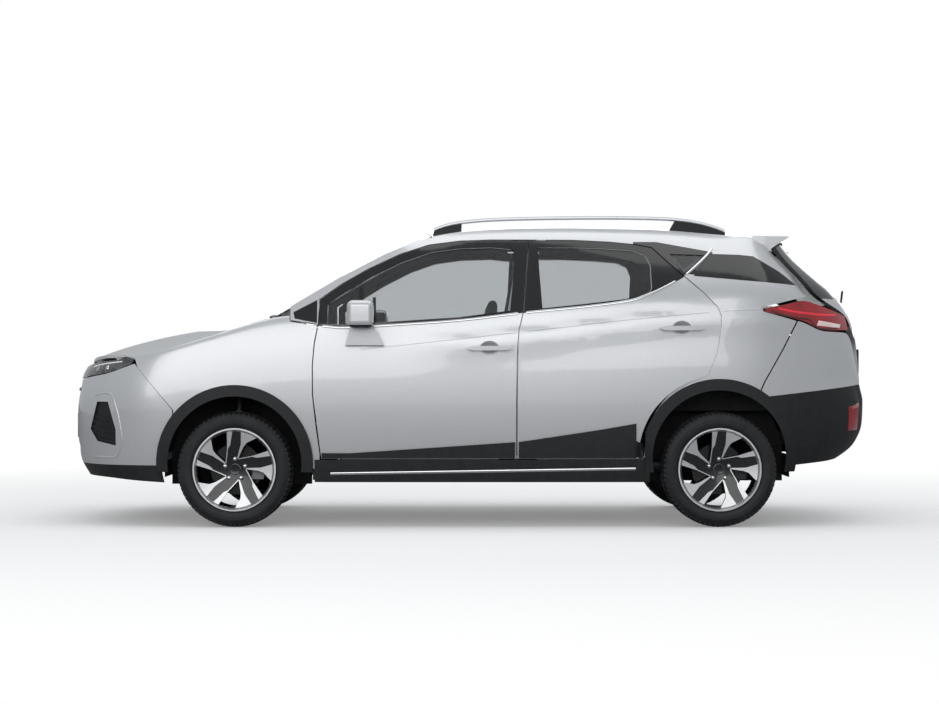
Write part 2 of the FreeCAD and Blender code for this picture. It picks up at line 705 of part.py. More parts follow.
def make_body_side():
    """Left side frame: pillars, sill, cant rail and rear quarter."""
    x_values = spread(-1150, 1990, 23)
    outer = side_skin(x_values, SIDE_LEVELS, constant_depth(0.0), constant_depth(SKIN_FLANGE + PANEL_GAP + 3.0))
    inner = side_skin(x_values, SIDE_LEVELS, constant_depth(SKIN_FLANGE + PANEL_GAP), constant_depth(85.0))
    layers = []
    between = [(150, 369), (150, 1180), (230, 1580), (420, 1580), (360, 1180), (360, 369)]
    layout = ((outer, OUTER_SIDE, DOOR_GAP, [QUARTER_WINDOW]),
              (inner, INNER_SIDE, DOOR_GAP - FLANGE_STEP,
               [HINGE_POCKET, between, offset_outline(QUARTER_WINDOW, -QUARTER_FLANGE)]))
    for skin, outline, grow, extra in layout:
        holes = [offset_outline(FRONT_DOOR, grow), offset_outline(REAR_DOOR, grow)] + extra
        layers.append(skin.common(plate(outline, "side", LEFT_OUT, LEFT_IN, holes)))
    side = union(layers)
    recess_layer = side_skin(x_values, SIDE_LEVELS, constant_depth(-9.0),
                             constant_depth(TRIM_SET_BACK + TRIM_THICKNESS + SEAT_FIT))
    for outline in (PILLAR_PANEL, SAIL_PANEL):
        side = side.cut(recess_layer.common(plate(outline, "side", LEFT_OUT, LEFT_IN)))
    side = side.cut(wheel_cut(REAR_AXLE_X, ARCH_RADIUS, LEFT_OUT, -300.0))
    side = side.cut(roof_room).cut(screen_room)
    spoiler_half = edge_half(ROOF_END_X - 60.0) - ROOF_SEAM
    side = side.cut(box(ROOF_END_X - 29.0, 2000, -spoiler_half - 6.0, -300, 1500, 1800))
    side = largest(side)
    sill = box(-860, 975, -840, -SILL_BOX_IN, SILL_BOTTOM_Z + 12, DOOR_BOTTOM_Z - DOOR_GAP)
    pillar_skin = side_skin(spread(60, 500, 6), SIDE_LEVELS, constant_depth(PILLAR_OUT), constant_depth(PILLAR_IN))
    pillar = pillar_skin.common(plate(PILLAR, "side", LEFT_OUT, LEFT_IN))
    arms = door_hinge_arms(DOOR_HINGE_FRONT_X, FRONT_ARM) + door_hinge_arms(DOOR_HINGE_REAR_X, REAR_ARM)
    return union([side, sill, pillar] + arms)


def make_trim_panels():
    """Gloss panels let into the rear pillar and the corner ahead of the front door."""
    layer = side_skin(spread(-1150, 1990, 23), SIDE_LEVELS, constant_depth(TRIM_SET_BACK),
                      constant_depth(TRIM_SET_BACK + TRIM_THICKNESS))
    panels = []
    for outline in (PILLAR_PANEL, SAIL_PANEL):
        panel = layer.common(plate(offset_outline(outline, -2 * PART_GAP), "side", LEFT_OUT, LEFT_IN))
        panels.append(panel.cut(screen_room))
    return panels


body_side = make_body_side()
panels = make_trim_panels()
save("pillar_panels", compound(panels + [mirrored(panel) for panel in panels]))
quarter_glass = make_side_glass(QUARTER_WINDOW, 1000, 1700)
save("fixed_glass", compound([screen, quarter_glass, mirrored(quarter_glass)]))
# front wings
BONNET_SIDE = [(-2210, 560), (-2100, 640), (-1950, 690), (-1700, 728), (-1400, 748), (-1050, 765)]
BONNET_FRONT_LEVEL = 900.0
BONNET_FRONT_EDGE = [(0, 893), (330, 893), (430, 912), (520, 928), (640, 936), (760, 940)]
COWL_X = -1100.0
COWL_BOW = 140.0
BONNET_THICKNESS = 16.0
ROLL = 30.0
WING_OUTLINE = [(-864, 880), (-854, 1000), (-836, 1095), (-985, 1120), (-990, 1160), (-1050, 1200),
                (-1900, 1200), (-1900, 932), (-1838, 918), (-1822, 872), (-1618, 638), (-1618, 300), (-822, 300),
                (-822, 400), (-844, 560), (-862, 720)]


def wing_section(x, depth):
    """Points from the bonnet gap over the rounded shoulder and down the side."""
    edge = curve(BONNET_SIDE, x) + PANEL_GAP + 0.6
    top = curve(WING_TOP, x)
    side = half_width(x, top - ROLL) - depth
    upper = bonnet_height(x, side - ROLL) - depth
    points = []
    for share in (0.0, 0.33, 0.66, 1.0):
        y = edge + (side - ROLL - edge) * share
        points.append((y, bonnet_height(x, y) - depth))
    corner = (half_width(x, top) - depth, upper)
    points.append(((side - ROLL) * 0.3 + corner[0] * 0.7, upper * 0.3 + corner[1] * 0.7))
    points.append((corner[0], corner[1] * 0.6 + (top - ROLL) * 0.4))
    for level in spread(top - ROLL, 320.0, 9):
        points.append((half_width(x, level) - depth, level))
    return [Vec(x, -y, z) for y, z in points]


def make_wing():
    x_values = spread(-1960, -780, 15)
    skin = thick_skin([wing_section(x, 0.0) for x in x_values], [wing_section(x, FENDER_SKIN) for x in x_values])
    skin = skin.common(plate(WING_OUTLINE, "side", LEFT_OUT, LEFT_IN))
    return skin.cut(wheel_cut(FRONT_AXLE_X, ARCH_RADIUS, LEFT_OUT, -300.0))


wing = make_wing()
save("front_wings", compound([wing, mirrored(wing)]))


# bonnet
def nose_x(y):
    share = abs(y) / base_half_width(-2000.0, BONNET_FRONT_LEVEL)
    tip = curve(NOSE_PROFILE, BONNET_FRONT_LEVEL)
    return FRONT_CURVE_START + (tip - FRONT_CURVE_START) * plan_fraction(share)


def bonnet_rows(drop):
    rows = []
    for u in (0.0, 0.02, 0.05, 0.09, 0.15, 0.24, 0.36, 0.5, 0.64, 0.78, 0.9, 1.0):
        row = []
        for v in (-1.0, -0.9, -0.75, -0.55, -0.3, 0.0, 0.3, 0.55, 0.75, 0.9, 1.0):
            x = -2150.0 + (COWL_X + 2150.0) * u
            for _ in range(4):
                y = v * curve(BONNET_SIDE, x)
                front = nose_x(y) + 6.0
                back = COWL_X - COWL_BOW * (1.0 - v * v)
                x = front + (back - front) * u
            fall = bonnet_height(front, y) - curve(BONNET_FRONT_EDGE, abs(y))
            z = bonnet_height(x, y) - drop - fall * clamp(1.0 - (x - front) / 110.0) ** 2
            row.append(Vec(x, y, z))
        rows.append(row)
    return rows


BONNET_ARM_Y = 610.0
COWL_TOP_Z = 1085.0
BONNET_KNUCKLE = [(10, 8), (-12, 9), (-34, 2), (-110, -20), (-110, -30), (-40, -20), (-14, -10), (10, -8)]


def bonnet_arms():
    """Fixed hinge arms on the cowl with pins that point outwards."""
    arms = []
    for side in (-1, 1):
        arms.append(block_on_side(BONNET_HINGE_X - 7, BONNET_HINGE_X + 7, BONNET_ARM_Y - 4, BONNET_ARM_Y + 4,
                                  COWL_TOP_Z - 20, BONNET_HINGE_Z + 6, side))
        low, high = sorted((side * BONNET_ARM_Y, side * (BONNET_ARM_Y + PIN_LENGTH)))
        arms.append(cylinder_y(BONNET_HINGE_X, BONNET_HINGE_Z, PIN_RADIUS, low, high))
    return arms


def fit_bonnet_hinges(bonnet):
    outline = [(BONNET_HINGE_X + a, BONNET_HINGE_Z + b) for a, b in BONNET_KNUCKLE]
    knuckles = []
    bores = []
    for side in (-1, 1):
        low, high = sorted((side * (BONNET_ARM_Y + 9), side * (BONNET_ARM_Y + PIN_LENGTH + 4)))
        knuckles.append(plate(outline, "side", low, high))
        bores.append(cylinder_y(BONNET_HINGE_X, BONNET_HINGE_Z, PIN_RADIUS + PIN_FIT, low - 1, high + 1))
    return union([bonnet] + knuckles).cut(Part.makeCompound(bores))


bonnet = fit_bonnet_hinges(thick_skin(bonnet_rows(0.0), bonnet_rows(BONNET_THICKNESS)))
save("bonnet", bonnet)

# roof rails
RAIL_PATH = [(-205, 1640), (-150, 1666), (-40, 1686), (120, 1699), (420, 1706), (760, 1709), (1060, 1705),
             (1240, 1692), (1360, 1660), (1425, 1632)]
RAIL_HALF_HEIGHT = 11.0
RAIL_HALF_WIDTH = 17.0
RAIL_FOOT_FRONT = [(-222, 1560), (-50, 1560), (-50, 1684), (-100, 1676), (-150, 1664), (-205, 1640)]
RAIL_FOOT_REAR = [(1090, 1600), (1430, 1580), (1425, 1632), (1360, 1660), (1240, 1690), (1150, 1700)]


def rail_rows(side):
    rows = []
    for x, z in RAIL_PATH:
        row = []
        for v in (-1.0, -0.9, -0.6, 0.0, 0.6, 0.9, 1.0):
            rise = max(RAIL_HALF_HEIGHT * math.sqrt(1.0 - v * v), 2.0)
            row.append(Vec(x, v * RAIL_HALF_WIDTH - RAIL_Y, z + side * rise))
        rows.append(row)
    return rows


def make_rail():
    rail = thick_skin(rail_rows(1.0), rail_rows(-1.0))
    feet = [plate(RAIL_FOOT_FRONT, "side", -RAIL_Y - 11, -RAIL_Y + 11),
            plate(RAIL_FOOT_REAR, "side", -RAIL_Y - 11, -RAIL_Y + 11)]
    return largest(union([rail] + feet).cut(roof)).translated(Vec(0, 0, SEAT_FIT))


rail = make_rail()
save("roof_rails", compound([rail, mirrored(rail)]))

# front end
LAMP_LOW = along([(0.6, 915), (0.66, 904), (0.8, 866), (1.1, 828), (1.45, 806), (2.0, 800)])
LAMP_HIGH = along([(0.6, 915), (0.66, 912), (0.8, 914), (1.1, 904), (1.45, 872), (2.0, 868)])
BUMPER_TOP = along([(0.0, 900), (0.55, 900), (0.66, 896), (0.8, 861), (1.1, 822), (1.42, 799), (1.49, 799),
                    (1.56, 802), (2.0, 802)])
BUMPER_LOW = along([(0.0, 236), (0.6, 250), (1.2, 268), (2.0, 262)])
BUMPER_SKIN = 10.0
LIP_TOP_Z = 336.0
UPPER_GRILLE = [(-290, 632), (-420, 668), (-478, 742), (-470, 790), (-430, 830), (430, 830), (470, 790),
                (478, 742), (420, 668), (290, 632)]
LOWER_GRILLE = [(-430, 352), (-480, 430), (-380, 500), (380, 500), (480, 430), (430, 352)]
SIDE_INTAKE = [(-2062, 682), (-1992, 682), (-1945, 530), (-1945, 442), (-2059, 464), (-2106, 530)]
BUMPER_SEAM = [(-1830, 880), (-1624, 640), (-1624, 200), (-1500, 200), (-1500, 1000), (-1862, 1000), (-1862, 917)]
GRILLE_FLANGE = 12.0
GRILLE_FIT = 0.7
GRILLE_BACK = 30.0


def span_values(low, high, step):
    count = max(4, int(round((high - low) / step)) + 1)
    return spread(low, high, count)


def bumper_layer(outer_grow, inner_grow):
    return end_panel(span_values(0.0, 4.0, 0.125), BUMPER_LOW, BUMPER_TOP, 13, NOSE_PROFILE,
                     FRONT_CURVE_START, outer_grow, inner_grow)


def make_front_bumper():
    shell = bumper_layer(0.0, -BUMPER_SKIN)
    for outline in (UPPER_GRILLE, LOWER_GRILLE):
        shell = shell.cut(plate(outline, "front", NOSE_X - 50, -1900))
    shell = shell.cut(plate(SIDE_INTAKE, "side", -1000, 1000))
    shell = shell.cut(plate(BUMPER_SEAM, "side", -1000, 1000))
    return shell.cut(wheel_cut(FRONT_AXLE_X, ARCH_RADIUS, -1000, 1000))


bumper_shell = make_front_bumper()
front_bumper = bumper_shell.cut(box(-2400, -1400, -1000, 1000, 100, LIP_TOP_Z))
front_lip = bumper_shell.common(box(-2400, -1400, -1000, 1000, 100, LIP_TOP_Z - PART_GAP))
save("front_bumper", front_bumper)


def make_headlamp():
    return end_panel(span_values(0.70, 1.42, 0.07), LAMP_LOW, LAMP_HIGH, 5, NOSE_PROFILE,
                     FRONT_CURVE_START, -2.0, -60.0)


headlamp = make_headlamp()
save("headlamps", compound([headlamp, mirrored(headlamp)]))


def lattice(low, high, half, rows, columns, lean):
    """Leaning six-sided openings in rows, each row shifted by half a step."""
    cells = []
    height = (high - low) / rows
    width = 2.0 * half / columns
    for row in range(rows):
        middle_z = low + height * (row + 0.5)
        for column in range(columns + 1):
            middle_y = -half + width * (column + (0.5 if row % 2 else 0.0))
            if abs(middle_y) > half:
                continue
            dy = width * 0.40
            dz = height * 0.36
            cells.append([(middle_y - dy, middle_z), (middle_y - dy * lean, middle_z - dz),
                          (middle_y + dy * lean, middle_z - dz), (middle_y + dy, middle_z),
                          (middle_y + dy * lean, middle_z + dz), (middle_y - dy * lean, middle_z + dz)])
    return cells


def make_grille():
    """Upper and lower grilles and the side intakes, set behind the bumper skin."""
    layer = bumper_layer(-BUMPER_SKIN - GRILLE_FIT, -GRILLE_BACK)
    upper = lattice(650, 732, 400, 3, 12, 0.55) + lattice(762, 822, 430, 2, 13, 0.55)
    grille = layer.common(plate(offset_outline(UPPER_GRILLE, GRILLE_FLANGE), "front", NOSE_X - 50, -1900, upper))
    bar = [(-474, 738), (474, 738), (468, 756), (-468, 756)]
    front_layer = bumper_layer(4.0, -GRILLE_BACK)
    bar = front_layer.common(plate(bar, "front", NOSE_X - 50, -1900))
    low_slots = []
    for level in (374, 406, 438, 470):
        low_slots.append([(-360, level - 9), (360, level - 9), (352, level + 9), (-352, level + 9)])
    low = layer.common(plate(offset_outline(LOWER_GRILLE, GRILLE_FLANGE), "front", NOSE_X - 50, -1900, low_slots))
    intake = layer.common(plate(offset_outline(SIDE_INTAKE, GRILLE_FLANGE), "side", LEFT_OUT, LEFT_IN))
    rib_layer = bumper_layer(-4.0, -BUMPER_SKIN - 2.0)
    ribs = []
    for index in range(5):
        z = 470.0 + 30.0 * index
        rib = [(-2100, z + 12), (-1940, z - 18), (-1940, z - 8), (-2100, z + 22)]
        area = plate(offset_outline(SIDE_INTAKE, -PART_GAP), "side", LEFT_OUT, LEFT_IN)
        ribs.append(rib_layer.common(area).common(plate(rib, "side", LEFT_OUT, LEFT_IN)))
    intake = union([intake] + ribs)
    return compound([union([grille, bar]), low, intake, mirrored(intake)])


save("front_grille", make_grille())

# rear end
TAIL_LAMP_LOW = along([(0.2, 1182), (0.28, 1178), (0.5, 1150), (0.75, 1120), (0.92, 1074), (1.3, 1080), (2.0, 1080)])
TAIL_LAMP_HIGH = along([(0.2, 1190), (0.28, 1192), (0.6, 1218), (0.8, 1238), (1.0, 1205), (1.25, 1150), (2.0, 1150)])
REAR_BUMPER_TOP = along([(0.0, 1125), (0.6, 1130), (0.66, 1126), (0.75, 1111), (0.92, 1065), (1.22, 1066),
                         (1.27, 1040), (1.36, 772), (1.5, 765), (2.0, 762)])
REAR_BUMPER_LOW = along([(0.0, 360), (0.5, 330), (1.0, 345), (1.4, 360), (2.0, 372)])
REAR_SEAM = [(1790, 1124), (1708, 970), (1604, 790), (1570, 712), (1570, 250), (1400, 250), (1400, 1300), (1806, 1300)]
REAR_LOWER = [(1400, 688), (2400, 798), (2400, 200), (1400, 200)]


def make_rear_bumper():
    shell = end_panel(span_values(0.0, 4.0, 0.125), REAR_BUMPER_LOW, REAR_BUMPER_TOP, 13, TAIL_PROFILE,
                      REAR_CURVE_START, 0.0, -BUMPER_SKIN)
    shell = shell.cut(plate(REAR_SEAM, "side", -1000, 1000))
    return shell.cut(wheel_cut(REAR_AXLE_X, ARCH_RADIUS, -1000, 1000))


rear_shell = make_rear_bumper()
save("rear_bumper", rear_shell.cut(plate(REAR_LOWER, "side", -1000, 1000)))
lower_cut = [(x, z - PART_GAP) for x, z in REAR_LOWER]
rear_lower = rear_shell.common(plate(lower_cut, "side", -1000, 1000))
save("lower_bumpers", compound([front_lip, rear_lower]))
tail_lamp = end_panel(span_values(0.31, 1.2, 0.09), TAIL_LAMP_LOW, TAIL_LAMP_HIGH, 5, TAIL_PROFILE,
                      REAR_CURVE_START, -1.0, -45.0)
save("tail_lamps", compound([tail_lamp, mirrored(tail_lamp)]))
lamp_bracket = end_on(box(1490, 1650, -806, -750, 1174, 1206), tail_lamp, (1495, -755, 1190), (-1.5, 1.5, 0))
body_side = union([body_side, lamp_bracket])
save("body_side_left", body_side)
save("body_side_right", mirrored(body_side))

# tailgate
HATCH_EDGE = [(700, 1.43), (1000, 1.43), (1058, 1.36), (1085, 1.25), (1160, 1.24), (1215, 1.08), (1260, 1.0),
              (1600, 0.99)]
HATCH_LOW = 782.0
HATCH_TOP = 1560.0
HATCH_DEPTH = 36.0
HATCH_WINDOW = [(-560, 1262), (-500, 1236), (500, 1236), (560, 1262), (545, 1440), (515, 1500), (470, 1520),
                (-470, 1520), (-515, 1500), (-545, 1440)]
SPOILER_TIP_X = 1798.0
SPOILER_HALF = edge_half(ROOF_END_X - 60.0) - ROOF_SEAM
SPOILER_DEPTH = 62.0
HATCH_GAP = 7.0
SPOILER_FIN = [(1575, 1606), (1786, 1602), (1700, 1548), (1644, 1508), (1606, 1508), (1575, 1560)]


def hatch_rows(grow, levels):
    rows = []
    for v in spread(0.0, 1.0, 21):
        row = []
        for z in levels:
            edge = curve(HATCH_EDGE, z)
            row.append(end_place(edge + (4.0 - 2.0 * edge) * v, z, TAIL_PROFILE, REAR_CURVE_START, grow))
        rows.append(row)
    return rows


def spoiler_rows(drop):
    rows = []
    for u in spread(0.0, 1.0, 6):
        row = []
        for v in spread(-1.0, 1.0, 11):
            front = ROOF_END_X - 30.0 * v * v + HATCH_GAP
            back = SPOILER_TIP_X - 70.0 * abs(v) ** 3
            x = front + (back - front) * u
            y = v * SPOILER_HALF
            thickness = drop * (1.0 - 0.62 * u)
            row.append(Vec(x, y, roof_height(x, y) - thickness))
        rows.append(row)
    return rows


def make_tailgate():
    levels = spread(HATCH_LOW, HATCH_TOP, 17)
    skin = thick_skin(hatch_rows(0.0, levels), hatch_rows(-HATCH_DEPTH, levels))
    skin = skin.cut(plate(HATCH_WINDOW, "front", 1400, 2300))
    spoiler = thick_skin(spoiler_rows(0.0), spoiler_rows(SPOILER_DEPTH))
    link = box(1590, 1760, -440, 440, HATCH_TOP - 20, 1590)
    fins = [plate(SPOILER_FIN, "side", -SPOILER_HALF + 2, -SPOILER_HALF + 16),
            plate(SPOILER_FIN, "side", SPOILER_HALF - 16, SPOILER_HALF - 2)]
    gate = union([skin, spoiler, link] + fins)
    slots = []
    for side in (-1, 1):
        slots.append(block_on_side(TAILGATE_HINGE_X - 60, TAILGATE_HINGE_X + 10, TAILGATE_ARM_Y - 9,
                                   TAILGATE_ARM_Y + 9, 1500, TAILGATE_HINGE_Z + 7, side))
        low, high = sorted((side * TAILGATE_ARM_Y, side * (TAILGATE_ARM_Y + PIN_LENGTH + 2)))
        slots.append(cylinder_y(TAILGATE_HINGE_X, TAILGATE_HINGE_Z, PIN_RADIUS + PIN_FIT, low, high))
    return gate.cut(Part.makeCompound(slots))


tailgate = make_tailgate()
save("tailgate", tailgate)
glass_levels = spread(1180, HATCH_TOP, 9)
hatch_glass = thick_skin(hatch_rows(-GLASS_SET_BACK, glass_levels),
                         hatch_rows(-GLASS_SET_BACK - GLASS_THICKNESS, glass_levels))
hatch_glass = hatch_glass.common(plate(offset_outline(HATCH_WINDOW, -PART_GAP), "front", 1400, 2300))
save("tailgate_glass", hatch_glass)
rear_wiper = union([rod((2060, 0, 1222), (2176, 0, 1222), 14), rod((2168, 0, 1222), (2118, -330, 1300), 6)])
rear_wiper = end_on(rear_wiper, tailgate, (2150, -150, 1260), (1, 0, 0))
save("rear_wiper", rear_wiper)

# cladding
SILL_CLAD = [(-846, 404), (-654, 404), (-383, 422), (-58, 444), (268, 466), (485, 498), (702, 531), (940, 572),
             (948, 370), (-846, 370)]
CLAD_FIT = 0.4


def clad_skin(x_low, x_high, outward):
    x_values = spread(x_low, x_high, 14)
    levels = [180, 240, 300, 360, 420, 480, 560, 640]
    return side_skin(x_values, levels, constant_depth(-outward), constant_depth(-CLAD_FIT))


def door_cladding(low, high):
    skin = clad_skin(-900, 1000, CLAD_THICKNESS)
    area = [(low, 377), (high, 377), (high, 700), (low, 700)]
    piece = skin.common(plate(SILL_CLAD, "side", LEFT_OUT, LEFT_IN))
    return piece.common(plate(area, "side", LEFT_OUT, LEFT_IN))


clad_front = compound([front_frame, door_cladding(-810, 241)])
clad_rear = compound([rear_frame, door_cladding(262, 900)])
save("door_cladding_front_left", clad_front)
save("door_cladding_front_right", mirrored(clad_front))
save("door_cladding_rear_left", clad_rear)
save("door_cladding_rear_right", mirrored(clad_rear))


def arch_clearance(x, z):
    return -0.7 - 3.3 * smooth_step(1480, 1620, abs(x)) - 6.0 * smooth_step(1620, 1760, x)


def arch_ring(x_centre, level, x_values, z_values, below):
    skin = side_skin(x_values, z_values, constant_depth(-14.0), arch_clearance)
    ring = cylinder_y(x_centre, level, ARCH_OUTER, LEFT_OUT, LEFT_IN)
    ring = ring.cut(cylinder_y(x_centre, level, ARCH_INNER, LEFT_OUT - 1, LEFT_IN + 1))
    ring = ring.cut(below)
    return skin.common(ring)


def make_cladding():
    sill = clad_skin(-900, 1000, CLAD_THICKNESS)
    area = [(-848, SILL_BOTTOM_Z + 1), (938, SILL_BOTTOM_Z + 1), (946, 368), (-848, 368)]
    sill = sill.common(plate(area, "side", LEFT_OUT, LEFT_IN))
    under = [(-2300, 100), (2300, 100), (2300, 300), (-2300, 300)]
    cut_low = plate(under, "side", LEFT_OUT - 2, LEFT_IN + 2)
    front = arch_ring(FRONT_AXLE_X, FRONT_ARCH_Z, spread(-1800, -780, 13), spread(240, 860, 10), cut_low)
    rear = arch_ring(REAR_AXLE_X, REAR_ARCH_Z, spread(850, 1850, 13), spread(240, 880, 10), cut_low)
    front = front.cut(plate([(-846, 200), (-700, 200), (-700, 700), (-846, 700)], "side", LEFT_OUT - 3, LEFT_IN))
    rear = rear.cut(plate([(800, 200), (950, 200), (950, 640), (800, 640)], "side", LEFT_OUT - 3, LEFT_IN))
    return [sill, front, rear]


cladding = make_cladding()
save("sill_and_arch_cladding", compound(cladding + [mirrored(piece) for piece in cladding]))

# steering axis of the left wheel, and the room it takes in the liner
KINGPIN_LOW = (FRONT_AXLE_X, -705.0, 205.0)
KINGPIN_TOP = (FRONT_AXLE_X, -565.0, 860.0)
STRUT_ROOM = 34.0


def on_kingpin(share):
    return tuple(a + (b - a) * share for a, b in zip(KINGPIN_LOW, KINGPIN_TOP))


LINER_EDGE_Z = 400.0


def liner(x_centre, level, y_in):
    outer = cylinder_y(x_centre, level, LINER_RADIUS + LINER_THICKNESS, -780.0, y_in)
    shell = outer.cut(cylinder_y(x_centre, level, LINER_RADIUS, -781.0, y_in + 1))
    shell = shell.cut(box(x_centre - 500, x_centre + 500, -782.0, y_in + 2, -200, LINER_EDGE_Z))
    if x_centre < 0:
        shell = shell.cut(rod(on_kingpin(0.7), on_kingpin(0.95), STRUT_ROOM))
    return shell


liners = []
for x_centre, level, y_in in ((FRONT_AXLE_X, FRONT_ARCH_Z, -480.0), (REAR_AXLE_X, REAR_ARCH_Z, -640.0)):
    piece = liner(x_centre, level, y_in)
    liners.extend([piece, mirrored(piece)])
save("arch_liners", compound(liners))

# wheels
TREAD_HALF = 66.0
SHOULDER_RADIUS = 304.0
SIDEWALL_RADIUS = 258.0
# how far the face of the wheel stands out from its middle plane, by radius
WHEEL_FACE = [(0, 52), (30, 52), (60, 56), (140, 72), (208, 85)]
WHEEL_BACK = [(82, 30), (140, 44), (208, 60)]
PAINTED_STEP = 8.0
RIDGE_ROOT = 14.0
HUB_DEPTH = 38.0
HUB_FACE = 30.0
CAP_RADIUS = 30.0
# outlines on the face of a left wheel, from its centre: opening, straight spoke and swept blade
WHEEL_OPENING = [(-51, 35), (-41, 118), (-41, 214), (-128, 177), (-118, 107), (-101, 82)]
WHEEL_SPOKE = [(-53, 33), (-51, 35), (-41, 118), (-41, 214), (-10, 214), (-24, 134), (-37, 112), (-46.5, 34)]
WHEEL_BLADE = [(-51, 35), (-101, 82), (-118, 107), (-128, 177), (-160, 146), (-196, 102), (-121, 75), (-55, 30)]


def revolved(points):
    """Closed (radius, y) outline turned about the wheel's axis."""
    wire = Part.makePolygon([Vec(0, y, r) for r, y in points] + [Vec(0, points[0][1], points[0][0])])
    return Part.Face(wire).revolve(Vec(0, 0, 0), Vec(0, 1, 0), 360)


def make_tyre():
    half = TYRE_WIDTH / 2
    right = [(BEAD_RADIUS + PART_GAP, half - 20.5), (SIDEWALL_RADIUS, half), (SHOULDER_RADIUS, half - 11),
             (TYRE_RADIUS, TREAD_HALF)]
    left = [(r, -y) for r, y in reversed(right)]
    return revolved(right + left)


def on_face(outlines, low, high):
    """Every outline repeated about the wheel's axis and pushed through its face."""
    shapes = []
    for index in range(SPOKE_COUNT):
        for outline in outlines:
            prism = plate(outline, "side", -high, -low)
            prism.rotate(Vec(0, 0, 0), Vec(0, 1, 0), index * 360.0 / SPOKE_COUNT)
            shapes.append(prism)
    return shapes


def make_rim():
    """Left rim with its face at -Y, and the brake disc bolted behind it."""
    h = RIM_WIDTH / 2
    barrel = [(FLANGE_RADIUS - 2, -h - 6), (BEAD_RADIUS, 4 - h), (BEAD_RADIUS, h - 4), (FLANGE_RADIUS - 2, h + 6),
              (FLANGE_RADIUS - 10, h + 6), (BEAD_RADIUS - 12, h - 14), (BEAD_RADIUS - 12, 20 - h),
              (FLANGE_RADIUS - 10, -h - 6)]
    face = [(r, PAINTED_STEP - y) for r, y in WHEEL_FACE]
    back = [(r, -y) for r, y in reversed(WHEEL_BACK)]
    bore = SHAFT_RADIUS + SHAFT_FIT
    dish = revolved(face + back + [(bore, -HUB_FACE), (bore, -HUB_DEPTH), (0.0, -HUB_DEPTH)])
    dish = dish.cut(Part.makeCompound(on_face([WHEEL_OPENING], 0.0, 110.0)))
    ridge_zone = [(r, -y) for r, y in WHEEL_FACE[1:]]
    ridge_zone += [(r, RIDGE_ROOT - y) for r, y in reversed(WHEEL_FACE[1:])]
    ridges = revolved(ridge_zone).common(union(on_face([WHEEL_SPOKE, WHEEL_BLADE], 0.0, 110.0)))
    cap = [(0.0, -WHEEL_FACE[0][1]), (CAP_RADIUS - 4, -WHEEL_FACE[0][1]), (CAP_RADIUS, 4 - WHEEL_FACE[0][1]),
           (CAP_RADIUS, -HUB_DEPTH - 2), (0.0, -HUB_DEPTH - 2)]
    rim = union([revolved(barrel), dish, revolved(cap)] + ridges.Solids)
    disc = [(DISC_RADIUS, 34), (DISC_RADIUS, 34 - DISC_THICKNESS), (66, 34 - DISC_THICKNESS), (66, -HUB_FACE),
            (bore, -HUB_FACE), (bore, 10 - HUB_FACE), (58, 10 - HUB_FACE), (58, 34)]
    return compound([rim, revolved(disc)])


tyre = make_tyre()
rim = make_rim()
WHEELS = (("front_left", FRONT_AXLE_X, -1), ("front_right", FRONT_AXLE_X, 1),
          ("rear_left", REAR_AXLE_X, -1), ("rear_right", REAR_AXLE_X, 1))
for wheel_name, wheel_x, wheel_side in WHEELS:
    wheel_centre = Vec(wheel_x, wheel_side * WHEEL_CENTRE_Y, WHEEL_Z)
    this_rim = rim.copy() if wheel_side < 0 else mirrored(rim)
    save("tyre_" + wheel_name, tyre.translated(wheel_centre))
    save("rim_" + wheel_name, this_rim.translated(wheel_centre))

# axles
STUB_END = WHEEL_CENTRE_Y + HUB_DEPTH - 3.0
CALIPER_IN = 664.0
CALIPER_OUT = 792.0
PAD_LOW = 95.0
BRIDGE_LOW = 144.0
CALIPER_TOP = 160.0
TOWER_Z = 815.0
ARM_TOP_Z = 190.0


def ring_y(x, z, inner, outer, y0, y1):
    return cylinder_y(x, z, outer, y0, y1).cut(cylinder_y(x, z, inner, y0 - 1, y1 + 1))


def make_caliper(x):
    """Left caliper over the rear edge of the disc, on both of its faces."""
    disc_in = WHEEL_CENTRE_Y - 34.0
    disc_out = disc_in + DISC_THICKNESS
    bridge = ring_y(x, WHEEL_Z, BRIDGE_LOW, CALIPER_TOP, -CALIPER_OUT, -CALIPER_IN)
    outer_pad = ring_y(x, WHEEL_Z, PAD_LOW, CALIPER_TOP, -CALIPER_OUT, -disc_out - 4.0)
    inner_pad = ring_y(x, WHEEL_Z, PAD_LOW, CALIPER_TOP, 4.0 - disc_in, -CALIPER_IN)
    sector = box(x + 60, x + 170, -CALIPER_OUT - 1, 1 - CALIPER_IN, WHEEL_Z - 55, WHEEL_Z + 55)
    return union([piece.common(sector) for piece in (bridge, outer_pad, inner_pad)])


def make_knuckle():
    hub = rod((FRONT_AXLE_X, -690, WHEEL_Z), (FRONT_AXLE_X, -STUB_END, WHEEL_Z), SHAFT_RADIUS)
    carrier = rod((FRONT_AXLE_X, -655, WHEEL_Z), (FRONT_AXLE_X, -696, WHEEL_Z), 56.0)
    upright = rod(on_kingpin(0.03), on_kingpin(0.34), 22.0)
    strut = rod(on_kingpin(0.3), on_kingpin(0.8), 24.0)
    piston = rod(on_kingpin(0.78), on_kingpin(0.927), 11.0)
    stud = rod(on_kingpin(-0.019), on_kingpin(0.05), 10.0)
    arm = box(FRONT_AXLE_X + 10, FRONT_AXLE_X + 120, -690, -CALIPER_IN, WHEEL_Z - 16, WHEEL_Z + 16)
    spring_seat = Part.makeCylinder(62.0, 6.0, Vec(*on_kingpin(0.62)), Vec(*KINGPIN_TOP) - Vec(*KINGPIN_LOW))
    return union([hub, carrier, upright, strut, piston, stud, arm, make_caliper(FRONT_AXLE_X), spring_seat])


knuckle = make_knuckle()
save("knuckle_left", knuckle)
save("knuckle_right", mirrored(knuckle))

